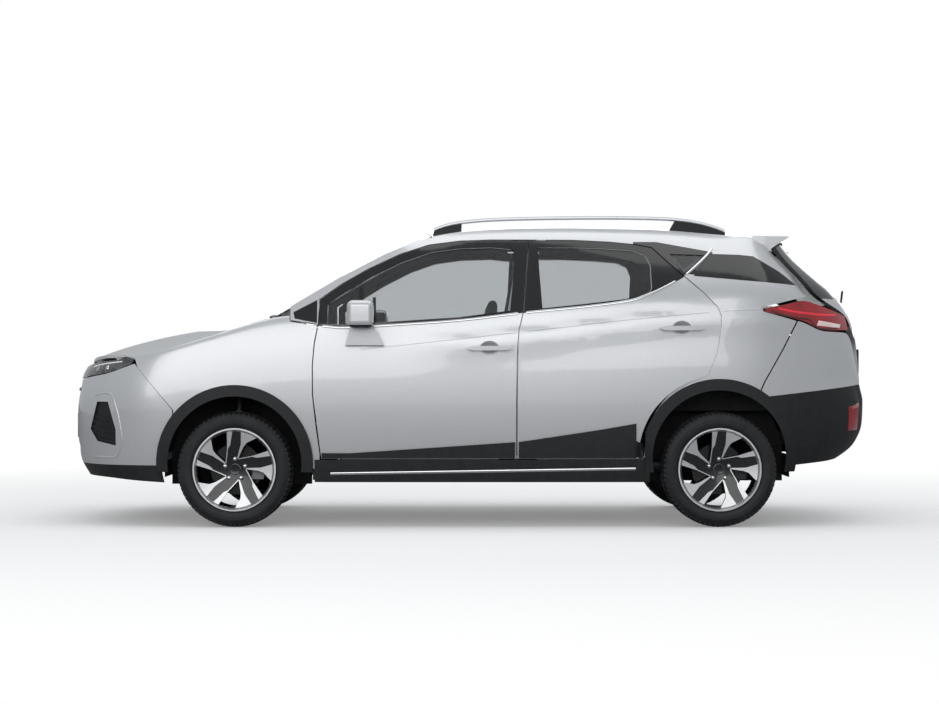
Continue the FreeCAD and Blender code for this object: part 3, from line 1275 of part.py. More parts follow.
# floor
FLOOR_HALF = SILL_BOX_IN
FLOOR_REAR_HALF = 790.0
FLOOR_PROFILE = [(-1060, 1040), (-1000, 1040), (-1000, 560), (-880, 330), (-700, 300), (560, 300), (640, 470),
                 (930, 500), (960, 660), (2080, 660), (2080, 770), (2110, 770), (2110, 630), (990, 630),
                 (960, 470), (660, 440), (580, 272), (-700, 272), (-905, 305), (-1030, 550), (-1060, 700)]
FLOOR_PLAN = [(-1100, -FLOOR_HALF), (1600, -FLOOR_HALF), (1600, -FLOOR_REAR_HALF), (1700, -FLOOR_REAR_HALF),
              (1920, -700), (2120, -550), (2120, 550), (1920, 700), (1700, FLOOR_REAR_HALF),
              (1600, FLOOR_REAR_HALF), (1600, FLOOR_HALF), (-1100, FLOOR_HALF)]
TUNNEL = [(-150, 290), (-110, 400), (110, 400), (150, 290)]


# both body sides, moved inwards by the fit of what rests against them
near_side = largest(body_side).translated(Vec(0, SEAT_FIT, 0))
side_room = Part.makeCompound([near_side, mirrored(near_side)])


def make_floor():
    body = plate(FLOOR_PROFILE, "side", -FLOOR_REAR_HALF, FLOOR_REAR_HALF)
    body = body.common(plate(FLOOR_PLAN, "plan", 0, 1200))
    radius = LINER_RADIUS + LINER_THICKNESS + PART_GAP
    for side in (-1, 1):
        low, high = sorted((side * 625, side * 800))
        body = body.cut(cylinder_y(REAR_AXLE_X, REAR_ARCH_Z, radius, low, high))
        low, high = sorted((side * 470, side * 760))
        body = body.cut(cylinder_y(FRONT_AXLE_X, FRONT_ARCH_Z, radius, low, high))
    pieces = [largest(body.cut(side_room)), plate(TUNNEL, "front", -1000, 560)]
    for side in (-1, 1):
        low, high = sorted((side * 200, side * 280))
        pieces.append(end_on(box(2095, 2400, low, high, 690, 740), rear_shell, (2115, side * 240, 715), (-1, 0, 0)))
    return union(pieces)


floor_pan = make_floor()
save("floor_pan", floor_pan)

# front structure
RAIL_IN = 380.0
RAIL_OUT = 450.0
LAMP_MOUNT_Z = 880.0


def make_front_structure():
    """Bonnet-bay rails, suspension towers, radiator frame, lower arms and the brackets on them."""
    parts = [box(-2030, -1990, -600, 600, 775, 815), box(-2100, -2050, -560, 560, 405, 495),
             box(FRONT_AXLE_X - 120, FRONT_AXLE_X + 260, -400, 400, 215, 265),
             box(-1700, -1640, -RAIL_IN - 5, -370, 420, 480), box(-1700, -1640, 350, RAIL_IN + 5, 420, 480)]
    left_wing_block = block_on_side(-1110, -1070, 640, 900, 780, 810, -1)
    wing_bracket = end_on(left_wing_block, wing, (-1090, -645, 795), (0, 1, 0))
    front_wing_block = block_on_side(-1730, -1690, 640, 900, 795, 817, -1)
    front_wing_bracket = end_on(front_wing_block, wing, (-1710, -645, 806), (0, 1, 0))
    lamp_bracket = end_on(block_on_side(-1940, -1900, 620, 900, LAMP_MOUNT_Z - 10, LAMP_MOUNT_Z + 10, -1),
                          headlamp, (-1920, -625, LAMP_MOUNT_Z), (0, 2, 0))
    bumper_bracket = end_on(box(-2400, -2060, -270, -200, 512, 560), front_bumper, (-2070, -230, 540), (1, 0, 0))
    for bracket in (wing_bracket, front_wing_bracket, lamp_bracket, bumper_bracket):
        parts.extend([bracket, mirrored(bracket)])
    for side in (-1, 1):
        parts.append(block_on_side(-2110, -880, RAIL_IN, RAIL_OUT, 400, 500, side))
        parts.append(block_on_side(FRONT_AXLE_X - 110, FRONT_AXLE_X + 110, 440, 640, TOWER_Z, TOWER_Z + 30, side))
        parts.append(block_on_side(FRONT_AXLE_X - 110, FRONT_AXLE_X + 110, 430, 450, 450, 830, side))
        parts.append(block_on_side(-2020, -1060, 600, 650, 760, 818, side))
        parts.append(block_on_side(-2030, -1990, RAIL_IN, 640, 400, 440, side))
        parts.append(block_on_side(-2030, -1990, 560, 600, 400, 815, side))
        parts.append(block_on_side(-1940, -1900, 600, 640, 800, LAMP_MOUNT_Z + 10, side))
        parts.append(block_on_side(-2100, -2050, 200, 270, 480, 560, side))
        arm = [(FRONT_AXLE_X - 60, side * RAIL_IN), (FRONT_AXLE_X - 30, side * 722),
               (FRONT_AXLE_X + 30, side * 722), (FRONT_AXLE_X + 230, side * RAIL_IN)]
        parts.append(plate(arm, "plan", ARM_TOP_Z - 25, ARM_TOP_Z))
        parts.append(block_on_side(FRONT_AXLE_X - 60, FRONT_AXLE_X + 230, 340, 395, 165, 260, side))
        parts.append(block_on_side(FRONT_AXLE_X + 120, FRONT_AXLE_X + 240, 385, 445, 180, 410, side))
    return largest(union(parts).cut(floor_pan))


save("front_structure", make_front_structure())
save("radiator", box(-2032, -1988, -372, 372, 420, 775))
save("engine_block", box(-1880, -1420, -370, 350, 330, 960))


def make_rear_axle():
    beam = rod((REAR_AXLE_X - 120, -585, WHEEL_Z + 4), (REAR_AXLE_X - 120, 585, WHEEL_Z + 4), 38.0)
    parts = [beam]
    caliper = make_caliper(REAR_AXLE_X)
    parts.extend([caliper, mirrored(caliper)])
    for side in (-1, 1):
        parts.append(rod((REAR_AXLE_X - 420, side * 560, 330), (REAR_AXLE_X, side * 600, WHEEL_Z), 32.0))
        parts.append(rod((REAR_AXLE_X, side * 570, WHEEL_Z), (REAR_AXLE_X, side * STUB_END, WHEEL_Z), SHAFT_RADIUS))
        parts.append(rod((REAR_AXLE_X, side * 640, WHEEL_Z), (REAR_AXLE_X, side * 696, WHEEL_Z), 60.0))
        parts.append(rod((REAR_AXLE_X + 60, side * 590, 300), (REAR_AXLE_X + 35, side * 590, 645), 22.0))
        parts.append(block_on_side(905, 955, 535, 585, 340, 480, side))
        parts.append(block_on_side(REAR_AXLE_X + 10, REAR_AXLE_X + 120, CALIPER_IN, 690, WHEEL_Z - 16,
                                   WHEEL_Z + 16, side))
    return largest(union(parts).cut(floor_pan))


save("rear_axle", make_rear_axle())

# cabin
def make_dashboard():
    outline = [(-1000, 860), (-760, 800), (-700, 900), (-720, 1010), (-800, 1060), (-992, 1075), (-1000, 1040)]
    dash = plate(outline, "side", -720, 720)
    ends = box(-990, -890, -800, 800, 880, 1040)
    console = box(-780, -60, -110, 110, 400, 640)
    column = rod((-800, -370, 854.5), (-619.4, -370, 934.9), 32.0)
    return largest(union([dash, ends, console, column]).cut(side_room))


save("dashboard", make_dashboard())


def make_steering_wheel():
    ring = Part.makeTorus(185, 15, Vec(0, 0, 0), Vec(0, 0, 1))
    hub = Part.makeCylinder(62, 40, Vec(0, 0, -32), Vec(0, 0, 1))
    spokes = [box(-185, 185, -16, 16, -14, 4), box(-14, 14, -185, 0, -14, 4)]
    wheel = union([ring, hub] + spokes)
    wheel.rotate(Vec(0, 0, 0), Vec(0, 1, 0), 66)
    wheel.translate(Vec(-590, -370, 948))
    return wheel


save("steering_wheel", make_steering_wheel())


def make_seat(x, y, half):
    base = box(x - 250, x + 250, y - half, y + half, 430, 560)
    back = plate([(x + 170, 500), (x + 300, 500), (x + 470, 1080), (x + 380, 1090)], "side", y - half, y + half)
    head = plate([(x + 385, 1105), (x + 475, 1095), (x + 500, 1260), (x + 430, 1275)], "side", y - 130, y + 130)
    posts = [rod((x + 425, y + side * 60, 1060), (x + 440, y + side * 60, 1130), 7) for side in (-1, 1)]
    foot = box(x - 200, x + 220, y - half + 60, y + half - 60, 300, 440)
    return union([base, back, head, foot] + posts)


save("front_seats", compound([make_seat(-330, -370, 255), make_seat(-330, 370, 255)]))


def make_rear_seat():
    base = box(500, 915, -620, 620, 450, 640)
    back = plate([(810, 600), (940, 640), (1100, 1180), (1010, 1185)], "side", -620, 620)
    return largest(union([base, back]).cut(floor_pan))


save("rear_seat", make_rear_seat())

# underbody
PIPE_RADIUS = 27.0
PIPE_ROUTE = [(-880, 60, 236), (900, 60, 236), (1075, 60, 405), (1420, 60, 440), (1850, 0, 500)]


def make_exhaust():
    muffler = box(1840, 2040, -420, 120, 420, 590)
    pipes = [rod(a, b, PIPE_RADIUS) for a, b in zip(PIPE_ROUTE, PIPE_ROUTE[1:])]
    hangers = [box(-420, -390, 50, 70, 250, 272), box(380, 410, 50, 70, 250, 272), box(1920, 1950, -200, -170, 580, 630)]
    return union([muffler] + pipes + hangers)


save("exhaust", make_exhaust())
save("fuel_tank", box(660, 950, -520, -80, 262, 440))

# cowl and mirrors
def make_cowl():
    """Panel under the windscreen's lower edge, with the bonnet's hinge arms."""
    panel = plate([(-1290, 1030), (-1060, 1030), (-1060, COWL_TOP_Z), (-1290, 1075)], "side", -700, 700)
    front = []
    back = []
    for v in spread(-0.93, 0.93, 9):
        x = SCREEN_BASE_X - 108.0 * (1.0 - v * v)
        front.append((x + 8.0, v * SCREEN_BASE_HALF))
        back.insert(0, (x + 30.0, v * SCREEN_BASE_HALF))
    lip = plate(front + back, "plan", COWL_TOP_Z - 10, 1200).cut(screen_room)
    lip = min(lip.Solids, key=lambda solid: solid.CenterOfMass.z)
    return union([panel, lip] + bonnet_arms())


save("cowl_and_wipers", make_cowl())


def make_mirror():
    shell = box(-665, -520, -1045, -888, 1085, 1232)
    shell = shell.makeFillet(34.0, shell.Edges)
    shell = shell.cut(box(-527, -500, -1030, -903, 1100, 1217))
    foot = plate([(-681, 990), (-470, 990), (-500, 1060), (-560, 1104), (-650, 1104)], "side", -896, -820)
    whole = union([shell, foot]).cut(front_frame)
    return end_on(whole, front_door, (-590, -950, 1160), (0, -1, 0))


mirror = make_mirror()
save("mirror_left", mirror)
save("mirror_right", mirrored(mirror))
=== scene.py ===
"""Dresses the solids of a five-door compact crossover and sets up its studio view.

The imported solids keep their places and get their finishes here. Tyres, seats, trim strips, lamp
internals and small fittings are made as pieces of their own.
"""

from __future__ import annotations

import logging
import math
from collections.abc import Callable, Sequence
from dataclasses import dataclass
from enum import Enum

import bmesh
import bpy
import numpy as np
from mathutils import Matrix, Vector
from mathutils.bvhtree import BVHTree

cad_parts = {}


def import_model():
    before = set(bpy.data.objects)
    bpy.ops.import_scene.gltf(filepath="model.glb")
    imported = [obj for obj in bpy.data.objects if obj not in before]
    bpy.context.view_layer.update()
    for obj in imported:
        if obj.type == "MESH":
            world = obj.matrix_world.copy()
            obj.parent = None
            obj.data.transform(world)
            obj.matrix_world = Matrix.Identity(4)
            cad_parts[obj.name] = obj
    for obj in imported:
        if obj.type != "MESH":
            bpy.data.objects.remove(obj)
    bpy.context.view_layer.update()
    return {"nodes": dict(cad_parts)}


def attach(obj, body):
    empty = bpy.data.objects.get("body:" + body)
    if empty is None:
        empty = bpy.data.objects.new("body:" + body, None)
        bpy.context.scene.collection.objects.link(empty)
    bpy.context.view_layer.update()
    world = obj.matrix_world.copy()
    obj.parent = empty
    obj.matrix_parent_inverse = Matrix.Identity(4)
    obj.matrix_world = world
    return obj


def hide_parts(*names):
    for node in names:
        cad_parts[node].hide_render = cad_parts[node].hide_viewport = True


LOG = logging.getLogger("crossover")

Point = tuple[float, float, float]
Line = tuple[tuple[float, float], ...]
Test = Callable[[np.ndarray, np.ndarray], np.ndarray]
Tree = bpy.types.NodeTree
Socket = bpy.types.NodeSocket
Material = bpy.types.Material
Piece = bpy.types.Object
Nodes = dict[str, Piece]

FRONT_AXLE_X = -1.285
REAR_AXLE_X = 1.355
WHEEL_Z = 0.314
WHEEL_Y = 0.778
SHARP_EDGE_DEG = 32.0
MM_PER_M = 1000.0
WAVE_TURN = 6.283
THROW_BACK = 0.4
CURVE_PARTS = 24
MERGE_DISTANCE = 1e-6
FAR_OUT = 3.0
FACING = 0.3
STRIP_SECTION = ((0.55, -1.0), (1.0, -0.6), (1.0, 0.6), (0.55, 1.0))


class Side(Enum):
    """The car's two sides, by the sign of Y."""

    LEFT = -1
    RIGHT = 1

    @property
    def word(self) -> str:
        """The side's name in node and piece names."""
        return self.name.lower()

    @property
    def inwards(self) -> Vector:
        """The direction from this side to the car's middle."""
        return Vector((0.0, -self.value, 0.0))


def linear(code: str) -> tuple[float, float, float, float]:
    """Turns an sRGB hex colour to linear light.

    Args:
        code: six hex digits, such as "E4E5E7".

    Returns:
        Red, green, blue and an alpha of 1.
    """
    channels = []
    for start in (0, 2, 4):
        value = int(code[start:start + 2], 16) / 255.0
        channels.append(value / 12.92 if value <= 0.04045 else ((value + 0.055) / 1.055) ** 2.4)
    return channels[0], channels[1], channels[2], 1.0


def add_node(tree: Tree, kind: str, settings: dict | None = None,
             links: dict | None = None) -> bpy.types.Node:
    """Adds one node with its settings and links.

    Args:
        tree: the node tree that gets the node.
        kind: the node's type name.
        settings: values by attribute name, or by input name or number.
        links: output sockets by the name or number of the input they feed.

    Returns:
        The new node.
    """
    node = tree.nodes.new(kind)
    for key, value in (settings or {}).items():
        if isinstance(key, str) and hasattr(node, key):
            setattr(node, key, value)
        else:
            node.inputs[key].default_value = value
    for key, socket in (links or {}).items():
        tree.links.new(socket, node.inputs[key])
    return node


def new_material(name: str) -> tuple[Material, Tree]:
    """Makes an empty node material.

    Args:
        name: the finish's plain name.

    Returns:
        The material and its node tree.
    """
    material = bpy.data.materials.new(name)
    material.use_nodes = True
    material.node_tree.nodes.clear()
    return material, material.node_tree


def surface(tree: Tree, settings: dict, links: dict | None = None) -> None:
    """Ends a material in one Principled shader.

    Args:
        tree: the material's node tree.
        settings: constants set on the shader's own sockets.
        links: sockets that feed the shader.
    """
    shader = add_node(tree, "ShaderNodeBsdfPrincipled", settings, links)
    add_node(tree, "ShaderNodeOutputMaterial", None, {"Surface": shader.outputs[0]})


def object_place(tree: Tree) -> Socket:
    """Returns the Object coordinates of the surface in a node tree."""
    return add_node(tree, "ShaderNodeTexCoord").outputs["Object"]


def object_noise(tree: Tree, size_mm: float, detail: float = 2.0) -> Socket:
    """Adds a noise on Object coordinates.

    Args:
        tree: the material's node tree.
        size_mm: width of one blotch of the noise.
        detail: how many finer layers are added.

    Returns:
        The noise's value.
    """
    return add_node(tree, "ShaderNodeTexNoise", {"Scale": MM_PER_M / size_mm, "Detail": detail},
                    {"Vector": object_place(tree)}).outputs[0]


def combine(tree: Tree, operation: str, first: Socket, second: Socket | float) -> Socket:
    """Combines two values by one operation.

    Args:
        tree: the material's node tree.
        operation: the operation's name.
        first: the first value.
        second: the second value, or a constant.

    Returns:
        The result.
    """
    fixed = isinstance(second, float)
    return add_node(tree, "ShaderNodeMath", {"operation": operation} | ({1: second} if fixed else {}),
                    {0: first} | ({} if fixed else {1: second})).outputs[0]


def spread(tree: Tree, value: Socket, low: float, high: float) -> Socket:
    """Maps a value from 0..1 to a range.

    Args:
        tree: the material's node tree.
        value: the socket to map.
        low: result at 0.
        high: result at 1.

    Returns:
        The mapped value.
    """
    return add_node(tree, "ShaderNodeMapRange", {3: low, 4: high}, {0: value}).outputs[0]


def colour_mix(tree: Tree, share: Socket, first: str, second: str) -> Socket:
    """Blends two colours by a share.

    Args:
        tree: the material's node tree.
        share: 0 gives the first colour, 1 the second.
        first: sRGB hex colour.
        second: sRGB hex colour.

    Returns:
        The blended colour.
    """
    ramp = add_node(tree, "ShaderNodeValToRGB", None, {0: share})
    ramp.color_ramp.elements[0].position = 0.3
    ramp.color_ramp.elements[0].color = linear(first)
    ramp.color_ramp.elements[1].position = 0.7
    ramp.color_ramp.elements[1].color = linear(second)
    return ramp.outputs[0]


def relief(tree: Tree, height: Socket, strength: float, depth_mm: float) -> Socket:
    """Turns a height to a bumped normal.

    Args:
        tree: the material's node tree.
        height: the height as 0..1.
        strength: how much of the bump shows.
        depth_mm: the height of 1 in millimetres.

    Returns:
        The normal.
    """
    bump = add_node(tree, "ShaderNodeBump", {"Strength": strength, "Distance": depth_mm / MM_PER_M},
                    {"Height": height})
    return bump.outputs[0]


class Finish:
    """A surface finish that is built once and shared."""

    name: str
    made: dict[str, Material] = {}

    def material(self) -> Material:
        """Returns the finish's one material, building it at the first call."""
        if self.name not in Finish.made:
            material, tree = new_material(self.name)
            self.build(tree)
            Finish.made[self.name] = material
        return Finish.made[self.name]

    def build(self, tree: Tree) -> None:
        """Builds the finish's nodes, which each finish does in its own way.

        Args:
            tree: the material's empty node tree.
        """
        raise NotImplementedError


LACQUER = {"Metallic": 0.45, "Coat Weight": 1.0, "Coat Roughness": 0.03, "Coat IOR": 1.6}
LACQUER_ROUGHNESS = (0.26, 0.36)
MASK_BLACK = "0B0C0D"
WHITE = (1.0, 1.0, 1.0, 1.0)


@dataclass(frozen=True)
class ClearcoatPaint(Finish):
    """Pearl silver base coat under clear lacquer, sprayed.

    The flakes give a faint sparkle and the lacquer a sharp reflection over a soft one.
    """

    name: str = "sprayed_pearl_silver_lacquer"
    light: str = "E3E4E6"
    dark: str = "D3D5D8"
    flake_mm: float = 1.6
    ripple_mm: float = 14.0

    def build(self, tree: Tree) -> None:
        """Builds the nodes of the paint."""
        flakes = object_noise(tree, self.flake_mm, 0.0)
        ripple = object_noise(tree, self.ripple_mm, 1.0)
        surface(tree, LACQUER,
                {"Base Color": colour_mix(tree, flakes, self.dark, self.light),
                 "Roughness": spread(tree, flakes, *LACQUER_ROUGHNESS),
                 "Normal": relief(tree, ripple, 0.02, 0.2)})


@dataclass(frozen=True)
class QuarterPaint(Finish):
    """The body's lacquer with gloss black masked in round the small rear side window and on the sill.

    The mask gives a tape's sharp edge: it follows the waist strip where that rises to the roof.

    Attributes:
        edges: slope and level of the lines above which the part ahead of the strip is black.
        front_x: where that part begins.
        roof_lines: directions and levels that end both parts towards the roof.
        behind: directions and levels that bound the part behind the strip.
        sill_z: the level below which the sill is black.
    """

    name: str = "sprayed_silver_with_black_window_surround"
    edges: Line = ((0.55, 0.7259), (0.8205, 0.4116), (0.9524, 0.2480), (1.219, -0.0993))
    front_x: float = 0.90
    roof_lines: tuple[tuple[Point, float], ...] = (((-0.19, 0.0, -1.0), -1.7607), ((0.0, 0.0, -1.0), -1.5655))
    behind: tuple[tuple[Point, float], ...] = (((0.089, 0.0, 1.0), 1.4875), ((1.0, 0.0, 0.0), 1.10),
                                               ((-1.0, 0.0, 0.0), -1.335))
    sill_z: float = 0.376

    def build(self, tree: Tree) -> None:
        """Builds the nodes of the masked paint."""
        place = object_place(tree)
        flakes = object_noise(tree, PAINT.flake_mm, 0.0)
        ahead = [((-slope, 0.0, 1.0), level) for slope, level in self.edges]
        ahead += [((1.0, 0.0, 0.0), self.front_x), *self.roof_lines]
        masked = None
        for limits in (ahead, [*self.behind, *self.roof_lines], [((0.0, 0.0, -1.0), -self.sill_z)]):
            inside = None
            for direction, level in limits:
                reach = add_node(tree, "ShaderNodeVectorMath", {"operation": "DOT_PRODUCT", 1: direction},
                                 {0: place})
                over = combine(tree, "GREATER_THAN", reach.outputs["Value"], level)
                inside = over if inside is None else combine(tree, "MULTIPLY", inside, over)
            masked = inside if masked is None else combine(tree, "MAXIMUM", masked, inside)
        silver = colour_mix(tree, flakes, PAINT.dark, PAINT.light)
        black = add_node(tree, "ShaderNodeMix", {"data_type": "RGBA", 7: linear(MASK_BLACK)},
                         {0: masked, 6: silver})
        surface(tree, LACQUER,
                {"Base Color": black.outputs[2], "Roughness": spread(tree, flakes, *LACQUER_ROUGHNESS)})


@dataclass(frozen=True)
class GrainedPlastic(Finish):
    """Injection-moulded plastic with an etched leather grain, dull where it is raised."""

    name: str
    light: str
    dark: str
    roughness: float = 0.55
    grain_mm: float = 2.2
    depth_mm: float = 0.12

    def build(self, tree: Tree) -> None:
        """Builds the nodes of the plastic."""
        cells = add_node(tree, "ShaderNodeTexVoronoi", {"Scale": MM_PER_M / self.grain_mm},
                         {"Vector": object_place(tree)})
        blotch = object_noise(tree, 40.0, 3.0)
        surface(tree, {"IOR": 1.49},
                {"Base Color": colour_mix(tree, blotch, self.dark, self.light),
                 "Roughness": spread(tree, blotch, self.roughness - 0.08, self.roughness + 0.08),
                 "Normal": relief(tree, cells.outputs[0], 0.5, self.depth_mm)})


@dataclass(frozen=True)
class GlossEnamel(Finish):
    """Smooth sprayed or moulded-in gloss, with a slight orange peel."""

    name: str
    light: str
    dark: str
    roughness: float = 0.12
    metallic: float = 0.0

    def build(self, tree: Tree) -> None:
        """Builds the nodes of the gloss."""
        peel = object_noise(tree, 6.0, 1.0)
        surface(tree, {"Coat Weight": 0.6, "Coat Roughness": 0.05, "Metallic": self.metallic},
                {"Base Color": colour_mix(tree, peel, self.dark, self.light),
                 "Roughness": spread(tree, peel, self.roughness - 0.03, self.roughness + 0.05),
                 "Normal": relief(tree, peel, 0.03, 0.2)})


@dataclass(frozen=True)
class Metal(Finish):
    """Bare or plated metal; its marks follow how it was worked."""

    name: str
    light: str
    dark: str
    roughness: float = 0.3
    mark_mm: float = 3.0
    depth_mm: float = 0.02
    stretch: Point = (1.0, 1.0, 1.0)

    def build(self, tree: Tree) -> None:
        """Builds the nodes of the metal."""
        drawn = add_node(tree, "ShaderNodeMapping", {"Scale": self.stretch}, {"Vector": object_place(tree)})
        marks = add_node(tree, "ShaderNodeTexNoise", {"Scale": MM_PER_M / self.mark_mm, "Detail": 4.0},
                         {"Vector": drawn.outputs[0]})
        surface(tree, {"Metallic": 1.0},
                {"Base Color": colour_mix(tree, marks.outputs[0], self.dark, self.light),
                 "Roughness": spread(tree, marks.outputs[0], self.roughness - 0.06, self.roughness + 0.08),
                 "Normal": relief(tree, marks.outputs[0], 0.4, self.depth_mm)})


@dataclass(frozen=True)
class TurnedAlloy(Finish):
    """Aluminium faced on a lathe and lacquered: fine rings about the wheel's centre.

    The rings are 0.2 mm apart on a real wheel and are drawn 1.5 mm apart, so that they show.
    """

    name: str
    centre_x: float
    ring_mm: float = 1.5

    def build(self, tree: Tree) -> None:
        """Builds the nodes of the turned metal."""
        moved = add_node(tree, "ShaderNodeVectorMath",
                         {"operation": "SUBTRACT", 1: (self.centre_x, 0.0, WHEEL_Z)},
                         {0: object_place(tree)})
        flat = add_node(tree, "ShaderNodeVectorMath", {"operation": "MULTIPLY", 1: (1.0, 0.0, 1.0)},
                        {0: moved.outputs[0]})
        radius = add_node(tree, "ShaderNodeVectorMath", {"operation": "LENGTH"}, {0: flat.outputs[0]})
        turns = combine(tree, "MULTIPLY", radius.outputs["Value"],
                        2.0 * MM_PER_M * math.pi / self.ring_mm)
        wave = add_node(tree, "ShaderNodeMath", {"operation": "SINE"}, {0: turns})
        ring = spread(tree, wave.outputs[0], 0.0, 1.0)
        grain = object_noise(tree, 4.0, 2.0)
        surface(tree, {"Metallic": 1.0, "Coat Weight": 0.5, "Coat Roughness": 0.08},
                {"Base Color": colour_mix(tree, grain, "E2E3E4", "F2F3F4"),
                 "Roughness": spread(tree, grain, 0.38, 0.5),
                 "Normal": relief(tree, ring, 0.15, 0.02)})


@dataclass(frozen=True)
class TintedGlass(Finish):
    """Toughened float glass with a grey tint; a faint waviness moves its reflections."""

    name: str
    tint: str

    def build(self, tree: Tree) -> None:
        """Builds the nodes of the glass."""
        wave = object_noise(tree, 260.0, 1.0)
        dust = object_noise(tree, 30.0, 3.0)
        surface(tree, {"Transmission Weight": 1.0, "IOR": 1.5, "Base Color": linear(self.tint)},
                {"Normal": relief(tree, wave, 0.05, 0.6), "Roughness": spread(tree, dust, 0.0, 0.03)})


@dataclass(frozen=True)
class Lens(Finish):
    """Moulded acrylic or polycarbonate lens with fine optics inside its back face."""

    name: str
    light: str
    dark: str
    clear: float = 0.0
    flute_mm: float = 7.0
    lit: float = 0.0

    def build(self, tree: Tree) -> None:
        """Builds the nodes of the lens."""
        flutes = add_node(tree, "ShaderNodeTexWave",
                          {"Scale": MM_PER_M / self.flute_mm / WAVE_TURN, "bands_direction": "DIAGONAL"},
                          {"Vector": object_place(tree)})
        fade = object_noise(tree, 90.0, 1.0)
        settings = {"Coat Weight": 1.0, "Coat Roughness": 0.02, "IOR": 1.49,
                    "Transmission Weight": self.clear}
        if self.lit > 0.0:
            settings["Emission Color"] = linear(self.light)
            settings["Emission Strength"] = self.lit
        surface(tree, settings,
                {"Base Color": colour_mix(tree, fade, self.dark, self.light),
                 "Roughness": spread(tree, flutes.outputs[1], 0.04, 0.14),
                 "Normal": relief(tree, flutes.outputs[1], 0.25 * (1.0 - self.clear), 0.4)})


@dataclass(frozen=True)
class WovenCloth(Finish):
    """Plain-woven upholstery cloth: threads over and under, dull, with a little sheen.

    Threads are 0.6 mm apart on the real one and are drawn 2.4 mm apart, so that they show.
    """

    name: str
    light: str
    dark: str
    thread_mm: float = 2.4

    def build(self, tree: Tree) -> None:
        """Builds the nodes of the cloth."""
        place = object_place(tree)
        weave = None
        for direction in ("X", "Y", "Z"):
            threads = add_node(tree, "ShaderNodeTexWave",
                               {"Scale": MM_PER_M / self.thread_mm / WAVE_TURN, "Distortion": 0.6,
                                "bands_direction": direction},
                               {"Vector": place}).outputs[1]
            weave = threads if weave is None else combine(tree, "MAXIMUM", weave, threads)
        pile = object_noise(tree, 22.0, 3.0)
        surface(tree, {"Sheen Weight": 0.25, "Sheen Roughness": 0.5, "Specular IOR Level": 0.25},
                {"Base Color": colour_mix(tree, pile, self.dark, self.light),
                 "Roughness": spread(tree, pile, 0.82, 0.95),
                 "Normal": relief(tree, weave, 0.6, 0.4)})


@dataclass(frozen=True)
class TyreRubber(Finish):
    """Vulcanised rubber: near black, dull, with the mould's fine rings and a little road dust."""

    name: str = "vulcanised_tyre_rubber"

    def build(self, tree: Tree) -> None:
        """Builds the nodes of the rubber."""
        dust = object_noise(tree, 60.0, 4.0)
        grain = object_noise(tree, 2.5, 2.0)
        surface(tree, {"Specular IOR Level": 0.4},
                {"Base Color": colour_mix(tree, dust, "222325", "2F3032"),
                 "Roughness": spread(tree, dust, 0.48, 0.64),
                 "Normal": relief(tree, grain, 0.3, 0.15)})


PAINT = ClearcoatPaint()
QUARTER_PAINT = QuarterPaint()
CLADDING = GrainedPlastic("grained_black_polypropylene", "242628", "1A1B1D")
GLOSS_BLACK = GlossEnamel("piano_black_acrylic", "0B0C0D", "070708")
BLACK_ENAMEL = GlossEnamel("baked_black_wheel_enamel", "17181A", "0E0F10", 0.22)
CHROME = Metal("bright_chrome_plate", "EDEEF0", "DDDFE1", 0.1, 9.0, 0.004)
SATIN_ALLOY = Metal("anodised_aluminium_rail", "D0D2D4", "BFC1C4", 0.28, 2.0, 0.02, (0.08, 1.0, 1.0))
CAST_METAL = Metal("cast_aluminium", "9A9C9E", "7D7F81", 0.48, 2.4, 0.12)
FORGED_STEEL = Metal("phosphated_forged_steel", "56585A", "3E4042", 0.5, 5.0, 0.08)
DISC_STEEL = Metal("ground_iron_disc", "A9ABAD", "8E9092", 0.3, 1.5, 0.02)
UNDERBODY = GrainedPlastic("stone_guard_underseal", "2B2C2D", "1D1E1F", 0.8, 3.5, 0.4)
RUBBER = TyreRubber()
# Black seal rubber; the same matt black is also painted shade on the recess walls beside the tail lamps.
SEAL_AND_SHADE = GrainedPlastic("black_epdm_seal", "161718", "101112", 0.7, 1.6, 0.05)
SIDE_GLASS = TintedGlass("grey_tinted_side_glass", "D3D6D8")
SCREEN_GLASS = TintedGlass("green_grey_laminated_screen", "C2C9C6")
PRIVACY_GLASS = TintedGlass("deep_tinted_rear_glass", "A4A8AA")
MIRROR_GLASS = Metal("silvered_mirror_glass", "D9DDE0", "D2D6D9", 0.06, 60.0, 0.001)
CLEAR_LENS = Lens("clear_polycarbonate_lens", "F2F4F6", "E4E8EB", 0.95, 9.0)
# Its small glow also shows on the rear reflectors, where it is painted light on a part that is no lamp.
RED_LENS = Lens("red_acrylic_lens", "B50F1D", "8C0812", 0.1, 6.0, 0.10)
DEEP_RED_LENS = Lens("deep_red_lens_rim", "5E060D", "430408", 0.05, 5.0)
BRIGHT_RED_LENS = Lens("red_light_guide", "E3203A", "C9142C", 0.0, 4.0, 0.35)
PALE_RED_LENS = Lens("pale_red_optic", "F1E4E2", "DDC3C2", 0.1, 5.0, 0.25)
AMBER_LENS = Lens("amber_acrylic_lens", "E58A1E", "C26A10", 0.2, 5.0)
LED_BAR = Lens("frosted_light_bar", "F7F9FB", "E9EDF1", 0.0, 4.0, 0.5)
CABIN_PLASTIC = GrainedPlastic("soft_touch_grey_trim", "38393B", "2C2D2F", 0.7, 1.8, 0.1)
PALE_LINING = WovenCloth("pale_headliner_felt", "B9B8B4", "A9A8A4", 1.8)
SEAT_CLOTH = WovenCloth("charcoal_woven_seat_cloth", "46474A", "343538")
SEAT_BOLSTER = GrainedPlastic("black_leathercloth", "232426", "191A1B", 0.5, 2.6, 0.2)
PLATE_WHITE = GlossEnamel("blank_plate_enamel", "E2E3E1", "D8D9D7", 0.3)


@dataclass(frozen=True)
class Zone:
    """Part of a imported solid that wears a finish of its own.

    Attributes:
        finish: what the zone wears.
        test: picks faces by their centres and outward directions, both as rows of X, Y, Z.
    """

    finish: Finish
    test: Test


